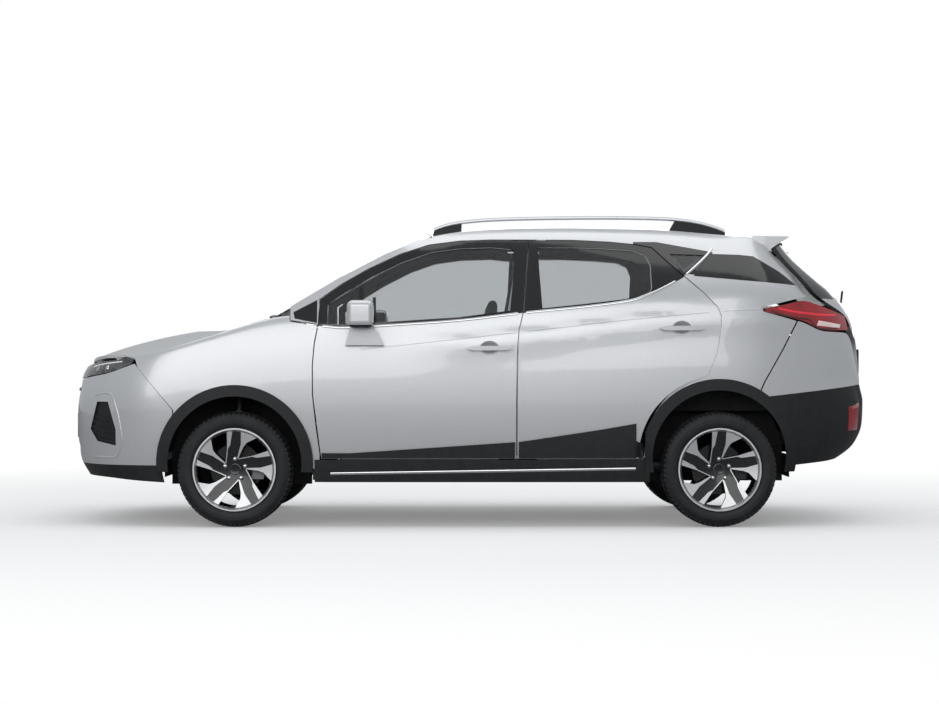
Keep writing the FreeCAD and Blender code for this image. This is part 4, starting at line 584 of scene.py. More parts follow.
def dress_node(node: Piece, main_finish: Finish, zones: Sequence[Zone] = ()) -> None:
    """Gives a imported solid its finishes, face by face.

    Args:
        node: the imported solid, whose shape stays as it is.
        main_finish: what is worn wherever no zone says otherwise.
        zones: later zones win over earlier ones.
    """
    mesh = node.data
    mesh.materials.clear()
    mesh.materials.append(main_finish.material())
    count = len(mesh.polygons)
    choice = np.zeros(count, np.int32)
    if zones:
        centres = np.zeros(count * 3)
        normals = np.zeros(count * 3)
        mesh.polygons.foreach_get("center", centres)
        mesh.polygons.foreach_get("normal", normals)
        for number, zone in enumerate(zones, 1):
            mesh.materials.append(zone.finish.material())
            choice[zone.test(centres.reshape(-1, 3), normals.reshape(-1, 3))] = number
    mesh.polygons.foreach_set("material_index", choice)
    LOG.info("node %s wears %s", node.name, main_finish.name)


class Target:
    """The faces of one or more meshes, found by a straight ray."""

    def __init__(self, objects: Sequence[Piece]) -> None:
        """Gathers the faces.

        Args:
            objects: the meshes that a ray may meet.
        """
        corners: list[Vector] = []
        faces: list[tuple[int, ...]] = []
        for obj in objects:
            base = len(corners)
            corners.extend(vertex.co.copy() for vertex in obj.data.vertices)
            faces.extend(tuple(base + index for index in polygon.vertices) for polygon in obj.data.polygons)
        self.tree = BVHTree.FromPolygons(corners, faces)

    def hit(self, start: Vector, aim: Vector) -> tuple[Vector, Vector] | None:
        """Finds where a ray meets the faces.

        Args:
            start: where the ray begins.
            aim: its direction.

        Returns:
            The point, and the direction that leads back towards the ray's side, or None.
        """
        place, normal, _index, _distance = self.tree.ray_cast(start, aim)
        if place is None:
            return None
        if normal.dot(aim) > 0.0:
            normal = -normal
        return place, normal


def smooth_line(points: Sequence[tuple[float, float]], step: float) -> list[tuple[float, float]]:
    """Runs a rounded line through points and divides it evenly.

    Args:
        points: the line's corners.
        step: distance between two results.

    Returns:
        Points along the line, its ends included.
    """
    dense: list[tuple[float, float]] = []
    last = len(points) - 1
    for index in range(last):
        p0, p1 = points[max(index - 1, 0)], points[index]
        p2, p3 = points[index + 1], points[min(index + 2, last)]
        for part in range(CURVE_PARTS):
            t = part / CURVE_PARTS
            dense.append(tuple(
                0.5 * (2 * b + (c - a) * t + (2 * a - 5 * b + 4 * c - d) * t * t
                       + (3 * b - a - 3 * c + d) * t ** 3)
                for a, b, c, d in zip(p0, p1, p2, p3)))
    dense.append(tuple(points[last]))
    lengths = [0.0]
    for a, b in zip(dense, dense[1:]):
        lengths.append(lengths[-1] + math.dist(a, b))
    count = max(2, int(lengths[-1] / step) + 1)
    wanted = np.linspace(0.0, lengths[-1], count)
    return list(zip(np.interp(wanted, lengths, [p[0] for p in dense]).tolist(),
                    np.interp(wanted, lengths, [p[1] for p in dense]).tolist()))


def new_piece(name: str, mesh: bpy.types.Mesh) -> Piece:
    """Puts a mesh into the scene at the origin.

    Args:
        name: the piece's name.
        mesh: its mesh.

    Returns:
        The new object.
    """
    piece = bpy.data.objects.new(name, mesh)
    bpy.context.scene.collection.objects.link(piece)
    return piece


def make_piece(name: str, corners: Sequence[Vector | Point], faces: Sequence[Sequence[int]]) -> Piece:
    """Makes a mesh piece at the origin with its faces pointing outwards.

    Args:
        name: the piece's name.
        corners: its points in metres.
        faces: point numbers of each face.

    Returns:
        The new object.
    """
    mesh = bpy.data.meshes.new(name)
    mesh.from_pydata([tuple(corner) for corner in corners], [], [tuple(face) for face in faces])
    work = bmesh.new()
    work.from_mesh(mesh)
    bmesh.ops.remove_doubles(work, verts=work.verts, dist=MERGE_DISTANCE)
    bmesh.ops.recalc_face_normals(work, faces=work.faces)
    work.to_mesh(mesh)
    work.free()
    return new_piece(name, mesh)


def settle(piece: Piece, body: str, finish: Finish,
           stands_for: Sequence[str] = ()) -> None:
    """Dresses a finished piece and hands it to the body that carries it.

    Args:
        piece: the piece, in place.
        body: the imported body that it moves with.
        finish: what it wears.
        stands_for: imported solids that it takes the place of.
    """
    mesh = piece.data
    if not mesh.materials:
        mesh.materials.append(finish.material())
    mesh.shade_smooth()
    mesh.set_sharp_from_angle(angle=math.radians(SHARP_EDGE_DEG))
    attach(piece, body)
    for node in stands_for:
        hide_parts(node)
    LOG.info("piece %s rides on %s", piece.name, body)


def joined(name: str, pieces: Sequence[Piece]) -> Piece:
    """Joins several meshes to one piece.

    Args:
        name: the joined piece's name.
        pieces: the meshes, which are removed.

    Returns:
        The joined object.
    """
    work = bmesh.new()
    for piece in pieces:
        work.from_mesh(piece.data)
    mesh = bpy.data.meshes.new(name)
    work.to_mesh(mesh)
    work.free()
    for piece in pieces:
        bpy.data.objects.remove(piece)
    return new_piece(name, mesh)


def loft(name: str, rings: Sequence[Sequence[Vector | Point]], closed: bool = False) -> Piece:
    """Joins closed rings of equal length to one skin.

    Args:
        name: the piece's name.
        rings: points of each ring.
        closed: whether the last ring meets the first, and otherwise both ends are capped.

    Returns:
        The new object.
    """
    corners = [corner for ring in rings for corner in ring]
    size = len(rings[0])
    faces: list[tuple[int, ...]] = []
    spans = len(rings) if closed else len(rings) - 1
    for row in range(spans):
        here = row * size
        there = ((row + 1) % len(rings)) * size
        for column in range(size):
            after = (column + 1) % size
            faces.append((here + column, here + after, there + after, there + column))
    if not closed:
        faces.append(tuple(range(size)))
        faces.append(tuple((len(rings) - 1) * size + index for index in range(size)))
    return make_piece(name, corners, faces)


def turned(name: str, profile: Sequence[tuple[float, float]], centre: Point, steps: int) -> Piece:
    """Turns a closed (radius, y) outline about a wheel's axis.

    Args:
        name: the piece's name.
        profile: the outline, y counted from the centre.
        centre: a point on the axis.
        steps: faces round the axis.

    Returns:
        The new object.
    """
    rings = []
    for step in range(steps):
        angle = 2.0 * math.pi * step / steps
        rings.append([(centre[0] + r * math.sin(angle), centre[1] + y, centre[2] + r * math.cos(angle))
                      for r, y in profile])
    return loft(name, rings, True)


def strip_on(name: str, target: Target, line: Sequence[Vector], aim: Vector, width: float, height: float,
             sink: float = 0.002) -> Piece:
    """Lays a rounded strip on a surface.

    Args:
        name: the piece's name.
        target: the surface.
        line: points that are thrown onto the surface.
        aim: the direction in which they are thrown.
        width: the strip's width.
        height: how far it stands out.
        sink: how deep its foot goes in.

    Returns:
        The new object.
    """
    found = [target.hit(point - aim * THROW_BACK, aim) for point in line]
    places = [hit for hit in found if hit is not None]
    rings = []
    for index, (place, normal) in enumerate(places):
        before = places[max(index - 1, 0)][0]
        after = places[min(index + 1, len(places) - 1)][0]
        run = (after - before).normalized()
        across = run.cross(normal).normalized()
        half = width / 2.0
        section = ((-sink, -1.0), *((height * share, part) for share, part in STRIP_SECTION), (-sink, 1.0))
        rings.append([place + normal * rise + across * half * part for rise, part in section])
    return loft(name, rings)


def plate_on(name: str, target: Target, corners: Sequence[Vector], aim: Vector, lift: float,
             rim: float = 0.003, grid: tuple[int, int] = (6, 6)) -> Piece:
    """Lays a thin plate with four corners on a surface, with a lowered rim.

    Args:
        name: the piece's name.
        target: the surface.
        corners: four points that are thrown onto the surface, in order.
        aim: the direction in which they are thrown.
        lift: the plate's height.
        rim: width of the rounded rim.
        grid: faces along the first and the second edge.

    Returns:
        The new object.
    """
    across, up = grid
    tops: list[list[Vector]] = []
    feet: list[list[Vector]] = []
    edge = rim / max((corners[1] - corners[0]).length, 0.001)
    side = rim / max((corners[3] - corners[0]).length, 0.001)
    shares_u = [0.0, edge] + [edge + (1 - 2 * edge) * i / across for i in range(1, across)] + [1 - edge, 1.0]
    shares_v = [0.0, side] + [side + (1 - 2 * side) * i / up for i in range(1, up)] + [1 - side, 1.0]
    for row, v in enumerate(shares_v):
        top_row, foot_row = [], []
        for column, u in enumerate(shares_u):
            point = ((corners[0] * (1 - u) + corners[1] * u) * (1 - v)
                     + (corners[3] * (1 - u) + corners[2] * u) * v)
            hit = target.hit(point - aim * THROW_BACK, aim)
            place, normal = hit if hit is not None else (point, -aim)
            outer = row in (0, len(shares_v) - 1) or column in (0, len(shares_u) - 1)
            top_row.append(place + normal * lift * (0.35 if outer else 1.0))
            foot_row.append(place - normal * 0.002)
        tops.append(top_row)
        feet.append(foot_row)
    wide = len(shares_u)
    tall = len(shares_v)
    points = [p for row in tops for p in row] + [p for row in feet for p in row]
    base = wide * tall
    faces: list[tuple[int, ...]] = []
    for row in range(tall - 1):
        for column in range(wide - 1):
            a = row * wide + column
            faces.append((a, a + 1, a + wide + 1, a + wide))
            faces.append((base + a, base + a + wide, base + a + wide + 1, base + a + 1))
    border = list(range(wide))
    border += [row * wide + wide - 1 for row in range(1, tall)]
    border += [(tall - 1) * wide + column for column in range(wide - 2, -1, -1)]
    border += [row * wide for row in range(tall - 2, 0, -1)]
    for index, a in enumerate(border):
        b = border[(index + 1) % len(border)]
        faces.append((a, base + a, base + b, b))
    return make_piece(name, points, faces)


def rounded_block(name: str, low: Point, high: Point, radius: float, segments: int = 3) -> Piece:
    """Makes a block with rounded edges.

    Args:
        name: the piece's name.
        low: its lowest corner.
        high: its highest corner.
        radius: radius of the edges.
        segments: faces round each edge.

    Returns:
        The new object.
    """
    work = bmesh.new()
    bmesh.ops.create_cube(work, size=1.0)
    for vertex in work.verts:
        vertex.co = Vector([low[i] + (high[i] - low[i]) * (vertex.co[i] + 0.5) for i in range(3)])
    bmesh.ops.bevel(work, geom=list(work.edges), offset=radius, segments=segments,
                    affect="EDGES", profile=0.5)
    mesh = bpy.data.meshes.new(name)
    work.to_mesh(mesh)
    work.free()
    return new_piece(name, mesh)


def mirrored_copy(piece: Piece, name: str) -> Piece:
    """Copies a piece to the car's other side.

    Args:
        piece: a piece that is in place.
        name: the copy's name.

    Returns:
        The copy, with its faces pointing outwards.
    """
    mesh = piece.data.copy()
    mesh.name = name
    mesh.transform(Matrix.Diagonal((1.0, -1.0, 1.0, 1.0)))
    mesh.flip_normals()
    return new_piece(name, mesh)


class RepeatTree:
    """Geometry Nodes tree that repeats a mesh about an axis, along a row, or both at once."""

    def __init__(self, name: str) -> None:
        """Builds the tree with its named inputs.

        Args:
            name: the tree's name.
        """
        self.tree = bpy.data.node_groups.new(name, "GeometryNodeTree")
        face = self.tree.interface
        face.new_socket("Geometry", in_out="INPUT", socket_type="NodeSocketGeometry")
        self.keys = {}
        for label, kind in (("Count", "NodeSocketInt"), ("Turn step", "NodeSocketVector"),
                            ("Row step", "NodeSocketVector"), ("Start", "NodeSocketVector"),
                            ("Wear", "NodeSocketFloat"), ("Seed", "NodeSocketInt"),
                            ("Finish", "NodeSocketMaterial")):
            self.keys[label] = face.new_socket(label, in_out="INPUT", socket_type=kind).identifier
        face.new_socket("Geometry", in_out="OUTPUT", socket_type="NodeSocketGeometry")
        self.link_nodes()

    def link_nodes(self) -> None:
        """Links points, instances and the finish."""
        tree = self.tree
        given = tree.nodes.new("NodeGroupInput")
        number = add_node(tree, "GeometryNodeInputIndex")
        turn = add_node(tree, "ShaderNodeVectorMath", {"operation": "SCALE"},
                        {0: given.outputs["Turn step"], "Scale": number.outputs[0]})
        move = add_node(tree, "ShaderNodeVectorMath", {"operation": "SCALE"},
                        {0: given.outputs["Row step"], "Scale": number.outputs[0]})
        place = add_node(tree, "ShaderNodeVectorMath", {"operation": "ADD"},
                         {0: move.outputs[0], 1: given.outputs["Start"]})
        points = add_node(tree, "GeometryNodePoints", None, {"Count": given.outputs["Count"],
                                                             "Position": place.outputs[0]})
        low = add_node(tree, "ShaderNodeMath", {"operation": "SUBTRACT", 0: 1.0}, {1: given.outputs["Wear"]})
        size = add_node(tree, "FunctionNodeRandomValue", {"data_type": "FLOAT"},
                        {2: low.outputs[0], "Seed": given.outputs["Seed"]})
        size.inputs[3].default_value = 1.0
        facing = add_node(tree, "FunctionNodeEulerToRotation", None, {0: turn.outputs[0]})
        copies = add_node(tree, "GeometryNodeInstanceOnPoints", None,
                          {"Points": points.outputs[0], "Instance": given.outputs["Geometry"],
                           "Rotation": facing.outputs[0], "Scale": size.outputs[1]})
        real = add_node(tree, "GeometryNodeRealizeInstances", None, {0: copies.outputs[0]})
        dressed = add_node(tree, "GeometryNodeSetMaterial", None,
                           {"Geometry": real.outputs[0], "Material": given.outputs["Finish"]})
        ending = tree.nodes.new("NodeGroupOutput")
        tree.links.new(dressed.outputs[0], ending.inputs[0])

    def run(self, piece: Piece, count: int, finish: Finish, turn: Point = (0.0, 0.0, 0.0),
            row: Point = (0.0, 0.0, 0.0), start: Point = (0.0, 0.0, 0.0), wear: float = 0.0) -> None:
        """Repeats a piece and leaves the result as its plain mesh.

        Args:
            piece: the mesh that is repeated.
            count: how many there are.
            finish: what they wear.
            turn: turn from one to the next, in radians.
            row: move from one to the next.
            start: where the first one's origin goes.
            wear: largest share by which one may be smaller.
        """
        modifier = piece.modifiers.new("repeat", "NODES")
        modifier.node_group = self.tree
        values = {"Count": count, "Turn step": turn, "Row step": row, "Start": start, "Wear": wear,
                  "Seed": 7, "Finish": finish.material()}
        for label, value in values.items():
            modifier[self.keys[label]] = value
        graph = bpy.context.evaluated_depsgraph_get()
        mesh = bpy.data.meshes.new_from_object(piece.evaluated_get(graph))
        piece.modifiers.remove(modifier)
        piece.data = mesh


def inward(side: Side) -> Test:
    """Picks the faces that look to the car's middle on one side."""
    return lambda centres, normals: normals[:, 1] * side.value < -FACING


@dataclass
class Bodywork:
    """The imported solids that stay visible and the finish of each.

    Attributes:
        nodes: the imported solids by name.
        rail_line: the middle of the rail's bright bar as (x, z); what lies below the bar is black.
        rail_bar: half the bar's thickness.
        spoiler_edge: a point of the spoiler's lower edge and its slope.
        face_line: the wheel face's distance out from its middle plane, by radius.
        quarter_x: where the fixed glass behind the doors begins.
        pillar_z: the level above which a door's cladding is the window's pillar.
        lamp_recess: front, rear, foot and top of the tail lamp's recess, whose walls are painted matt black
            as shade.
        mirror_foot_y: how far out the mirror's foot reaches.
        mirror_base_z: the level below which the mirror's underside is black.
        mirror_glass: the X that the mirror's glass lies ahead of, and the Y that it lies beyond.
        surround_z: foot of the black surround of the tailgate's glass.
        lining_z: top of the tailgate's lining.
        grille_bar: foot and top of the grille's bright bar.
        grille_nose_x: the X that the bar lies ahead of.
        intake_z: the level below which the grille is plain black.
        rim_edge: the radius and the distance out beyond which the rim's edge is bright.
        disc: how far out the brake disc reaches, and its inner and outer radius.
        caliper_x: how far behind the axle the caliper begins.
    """

    nodes: Nodes
    rail_line: Line = (
        (-0.205, 1.640), (-0.150, 1.666), (-0.040, 1.686), (0.120, 1.699), (0.420, 1.706), (0.760, 1.709),
        (1.060, 1.705), (1.240, 1.692), (1.360, 1.660), (1.425, 1.632))
    rail_bar: float = 0.0125
    spoiler_edge: tuple[float, float, float] = (1.626, 1.499, 0.626)
    face_line: Line = ((0.0, 0.052), (0.030, 0.052), (0.060, 0.056), (0.140, 0.072), (0.208, 0.085))
    quarter_x: float = 1.0
    pillar_z: float = 1.0
    lamp_recess: tuple[float, float, float, float] = (1.585, 2.10, 1.05, 1.243)
    mirror_foot_y: float = 0.893
    mirror_base_z: float = 1.1
    mirror_glass: tuple[float, float] = (-0.522, 0.9)
    surround_z: float = 1.25
    lining_z: float = 1.56
    grille_bar: tuple[float, float] = (0.736, 0.758)
    grille_nose_x: float = -2.2
    intake_z: float = 0.69
    rim_edge: tuple[float, float] = (0.2065, 0.06)
    disc: tuple[float, float, float] = (0.7565, 0.03, 0.152)
    caliper_x: float = 0.062

    def build(self) -> None:
        """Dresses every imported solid."""
        self.dress_plain()
        self.dress_shell()
        self.dress_lamps()
        self.dress_wheels()

    def dress_plain(self) -> None:
        """Dresses the solids that wear one finish all over."""
        plain: dict[str, Finish] = {
            "front_wings": PAINT, "bonnet": PAINT, "front_bumper": PAINT, "rear_bumper": PAINT,
            "lower_bumpers": CLADDING, "sill_and_arch_cladding": CLADDING, "arch_liners": UNDERBODY,
            "pillar_panels": GLOSS_BLACK, "tailgate_glass": PRIVACY_GLASS,
            "front_structure": UNDERBODY, "radiator": CAST_METAL, "engine_block": CAST_METAL,
            "rear_axle": FORGED_STEEL, "exhaust": FORGED_STEEL, "fuel_tank": UNDERBODY,
            "cowl_and_wipers": CLADDING, "rear_wiper": CLADDING, "dashboard": CABIN_PLASTIC,
            "steering_wheel": SEAT_BOLSTER, "front_seats": SEAT_CLOTH, "rear_seat": SEAT_CLOTH,
        }
        for name, finish in plain.items():
            dress_node(self.nodes[name], finish)
        dress_node(self.nodes["fixed_glass"], SCREEN_GLASS,
                   [Zone(SIDE_GLASS, lambda centres, normals: centres[:, 0] > self.quarter_x)])
        for side in Side:
            dress_node(self.nodes[f"glass_front_{side.word}"], SIDE_GLASS)
            dress_node(self.nodes[f"glass_rear_{side.word}"], SIDE_GLASS)

    def dress_shell(self) -> None:
        """Dresses the solids that are painted outside and trimmed inside; the walls of the recess by each
        tail lamp are painted matt black as shade.
        """
        front, rear, low, high = self.lamp_recess
        for side in Side:
            lining = Zone(CABIN_PLASTIC, inward(side))
            for row in ("front", "rear"):
                dress_node(self.nodes[f"door_{row}_{side.word}"], PAINT, [lining])
                dress_node(self.nodes[f"door_cladding_{row}_{side.word}"], CLADDING,
                           [Zone(GLOSS_BLACK, lambda centres, normals: centres[:, 2] > self.pillar_z)])
            # Besides the lining, the recess walls beside the tail lamp wear matt black: painted shade, not a
            # seal.
            dress_node(self.nodes[f"body_side_{side.word}"], QUARTER_PAINT, [
                lining, Zone(SEAL_AND_SHADE, lambda centres, normals: (np.abs(normals[:, 1]) < 0.7)
                             & (centres[:, 0] > front) & (centres[:, 0] < rear)
                             & (centres[:, 2] > low) & (centres[:, 2] < high))])
            dress_node(self.nodes[f"mirror_{side.word}"], PAINT, [
                Zone(GLOSS_BLACK, lambda centres, normals: np.abs(centres[:, 1]) < self.mirror_foot_y),
                Zone(CLADDING, lambda centres, normals: (centres[:, 2] < self.mirror_base_z)
                     & (normals[:, 2] < -0.6)),
                Zone(MIRROR_GLASS, lambda centres, normals: (normals[:, 0] > 0.9)
                     & (centres[:, 0] < self.mirror_glass[0])
                     & (np.abs(centres[:, 1]) > self.mirror_glass[1]))])
        dress_node(self.nodes["roof_panel"], PAINT,
                   [Zone(PALE_LINING, lambda centres, normals: normals[:, 2] < -FACING)])
        dress_node(self.nodes["floor_pan"], UNDERBODY,
                   [Zone(SEAT_CLOTH, lambda centres, normals: normals[:, 2] > FACING)])
        x0, z0, slope = self.spoiler_edge
        dress_node(self.nodes["tailgate"], PAINT, [
            Zone(GLOSS_BLACK, lambda centres, normals: (centres[:, 2] > self.surround_z)
                 & (centres[:, 2] < z0 + slope * (centres[:, 0] - x0))),
            Zone(CABIN_PLASTIC, lambda centres, normals: (normals[:, 0] < -FACING)
                 & (centres[:, 2] < self.lining_z))])
        xs = [x for x, _ in self.rail_line]
        tops = [z for _, z in self.rail_line]
        dress_node(self.nodes["roof_rails"], SATIN_ALLOY, [
            Zone(CLADDING, lambda centres, normals: centres[:, 2]
                 < np.interp(centres[:, 0], xs, tops) - self.rail_bar)])

    def dress_lamps(self) -> None:
        """Dresses the lamps and the grille."""
        def outer(centres: np.ndarray, normals: np.ndarray) -> np.ndarray:
            """Picks the faces of a lamp that show from outside."""
            sign = np.where(centres[:, 1] < 0.0, -1.0, 1.0)
            ends = np.where(centres[:, 0] < 0.0, -1.0, 1.0)
            return normals[:, 1] * sign + normals[:, 0] * ends > 0.25

        dress_node(self.nodes["headlamps"], GLOSS_BLACK, [Zone(CLEAR_LENS, outer)])
        dress_node(self.nodes["tail_lamps"], SEAL_AND_SHADE, [Zone(RED_LENS, outer)])
        dress_node(self.nodes["front_grille"], GLOSS_BLACK, [
            Zone(CHROME, lambda centres, normals: (centres[:, 2] > self.grille_bar[0])
                 & (centres[:, 2] < self.grille_bar[1])
                 & (centres[:, 0] < self.grille_nose_x) & (normals[:, 0] < -0.2)),
            Zone(CLADDING, lambda centres, normals: centres[:, 2] < self.intake_z)])

    def dress_wheels(self) -> None:
        """Dresses rims, discs and knuckles: turned faces over black recesses."""
        radii = [r for r, _ in self.face_line]
        outs = [out for _, out in self.face_line]
        for row, centre_x in (("front", FRONT_AXLE_X), ("rear", REAR_AXLE_X)):
            alloy = TurnedAlloy(f"lathe_turned_alloy_{row}", centre_x)

            def radius(centres: np.ndarray, middle: float = centre_x) -> np.ndarray:
                """Distance of each face from the wheel's axis."""
                return np.hypot(centres[:, 0] - middle, centres[:, 2] - WHEEL_Z)

            for side in Side:
                dress_node(self.nodes[f"rim_{row}_{side.word}"], BLACK_ENAMEL, [
                    Zone(alloy, lambda centres, normals: (normals[:, 1] * side.value > 0.5) & (
                        np.abs(centres[:, 1]) > WHEEL_Y + np.interp(radius(centres), radii, outs) - 0.003)),
                    Zone(alloy, lambda centres, normals: (radius(centres) > self.rim_edge[0])
                         & (np.abs(centres[:, 1]) > WHEEL_Y + self.rim_edge[1])),
                    Zone(DISC_STEEL, lambda centres, normals: (np.abs(centres[:, 1]) < self.disc[0])
                         & (radius(centres) < self.disc[2]) & (radius(centres) > self.disc[1]))])
        for side in Side:
            dress_node(self.nodes[f"knuckle_{side.word}"], FORGED_STEEL, [
                Zone(CAST_METAL, lambda centres, normals: centres[:, 0] > FRONT_AXLE_X + self.caliper_x)])


@dataclass
class Tyre:
    """One road tyre: a carcass with rings on its sidewalls, and tread blocks round it.

    Attributes:
        wheel: the wheel's name, such as "front_left".
        centre: the wheel's centre.
        repeat: the tree that repeats a tread pitch.
        pitches: how many pitches go round.
        tread_radius: outer radius.
        groove_radius: radius at the bottom of the grooves.
    """

    wheel: str
    centre: Point
    repeat: RepeatTree
    pitches: int = 68
    tread_radius: float = 0.3138
    groove_radius: float = 0.3062
    steps: int = 120

    def build(self) -> None:
        """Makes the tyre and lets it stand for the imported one."""
        half = [(0.2166, 0.0790), (0.2190, 0.0835), (0.2235, 0.0880), (0.2270, 0.0905), (0.2300, 0.0900),
                (0.2350, 0.0955), (0.2440, 0.1000), (0.2550, 0.1023), (0.2640, 0.1024), (0.2655, 0.1012),
                (0.2700, 0.1008), (0.2715, 0.1015), (0.2820, 0.0990), (0.2835, 0.0975), (0.2905, 0.0955),
                (0.2960, 0.0915), (0.3005, 0.0860), (0.3040, 0.0740), (self.groove_radius, 0.0560)]
        profile = [(r, -y) for r, y in half] + [(r, y) for r, y in reversed(half)]
        carcass = turned(f"carcass_{self.wheel}", profile, self.centre, self.steps)
        tread = self.make_pitch()
        self.repeat.run(tread, self.pitches, RUBBER, (0.0, 2.0 * math.pi / self.pitches, 0.0),
                        start=self.centre)
        tyre = joined(f"treaded_tyre_{self.wheel}", [carcass, tread])
        settle(tyre, f"wheel_{self.wheel}", RUBBER, stands_for=(f"tyre_{self.wheel}",))

    def make_pitch(self) -> Piece:
        """Makes the blocks of one pitch at the top of the wheel, about the origin.

        Returns:
            The blocks as one mesh.
        """
        pitch = 2.0 * math.pi / self.pitches
        rows = [(-0.0125, 0.0125, 0.46, 0.0, 0.0), (-0.0455, -0.0185, 0.37, 0.18, 0.0),
                (0.0185, 0.0455, 0.37, -0.18, 0.0), (-0.0885, -0.0515, 0.34, 0.30, 0.0088),
                (0.0515, 0.0885, 0.34, -0.30, 0.0088)]
        corners: list[Point] = []
        faces: list[tuple[int, ...]] = []
        for y0, y1, share, lean, fall in rows:
            base = len(corners)
            for y in (y0, y1):
                outer = abs(y) > 0.08
                shift = lean * (1.0 if y == y1 else -1.0) * pitch * 0.5
                top = self.tread_radius - (fall if outer else 0.0)
                foot = (0.2985 if outer else self.groove_radius) - 0.002
                for turn in (-share, share):
                    angle = turn * pitch + shift
                    for radius in (foot, top):
                        corners.append((radius * math.sin(angle), y, radius * math.cos(angle)))
            a = base
            faces += [(a + 1, a + 3, a + 7, a + 5), (a, a + 1, a + 5, a + 4), (a + 2, a + 6, a + 7, a + 3),
                      (a, a + 2, a + 3, a + 1), (a + 4, a + 5, a + 7, a + 6), (a, a + 4, a + 6, a + 2)]
        return make_piece(f"pitch_{self.wheel}", corners, faces)


@dataclass
class WheelFittings:
    """Five nuts and a blank centre cap on one rim.

    Attributes:
        wheel: the wheel's name.
        side: the side it is on.
        centre: the wheel's centre.
        repeat: the tree that repeats a nut.
        rim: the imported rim.
    """

    wheel: str
    side: Side
    centre: Point
    repeat: RepeatTree
    rim: Piece
    nut_circle: float = 0.0571
    nut_radius: float = 0.0098
    nut_length: float = 0.016
    cap_radius: float = 0.0285

    def build(self) -> None:
        """Makes the nuts and the cap."""
        sign = self.side.value
        target = Target([self.rim])
        aim = self.side.inwards
        seat = target.hit(Vector((self.centre[0], sign * 1.2, self.centre[2] + self.nut_circle)), aim)
        seat_y = abs(seat[0].y) if seat else 0.826
        nut = self.make_nut(seat_y - abs(self.centre[1]))
        self.repeat.run(nut, 5, CHROME, (0.0, 2.0 * math.pi / 5.0, 0.0), start=self.centre)
        settle(nut, f"wheel_{self.wheel}", CHROME)
        face = target.hit(Vector((self.centre[0], sign * 1.2, self.centre[2])), aim)
        out = (abs(face[0].y) if face else 0.83) - abs(self.centre[1])
        profile = [(0.0005, out - 0.003), (self.cap_radius, out - 0.003), (self.cap_radius, out + 0.0012),
                   (self.cap_radius - 0.002, out + 0.0025), (self.cap_radius - 0.005, out + 0.0012),
                   (0.0005, out + 0.0022)]
        cap = turned(f"blank_wheel_cap_{self.wheel}", [(r, y * sign) for r, y in profile], self.centre, 48)
        settle(cap, f"wheel_{self.wheel}", BLACK_ENAMEL)

    def make_nut(self, seat: float) -> Piece:
        """Makes one six-sided nut with a domed end at the top of the circle.

        Args:
            seat: distance of its seat from the wheel's middle plane.

        Returns:
            The nut, about the origin.
        """
        sign = self.side.value
        rings = []
        for share, out in ((1.15, -0.004), (1.15, 0.001), (1.0, 0.002), (1.0, self.nut_length * 0.75),
                           (0.75, self.nut_length * 0.93), (0.35, self.nut_length)):
            radius = self.nut_radius * share
            rings.append([(radius * math.cos(math.pi * k / 6), sign * (seat + out),
                           self.nut_circle + radius * math.sin(math.pi * k / 6) * (1.0 if k % 2 else 0.93))
                          for k in range(12)])
        return loft(f"wheel_nuts_{self.wheel}", rings)


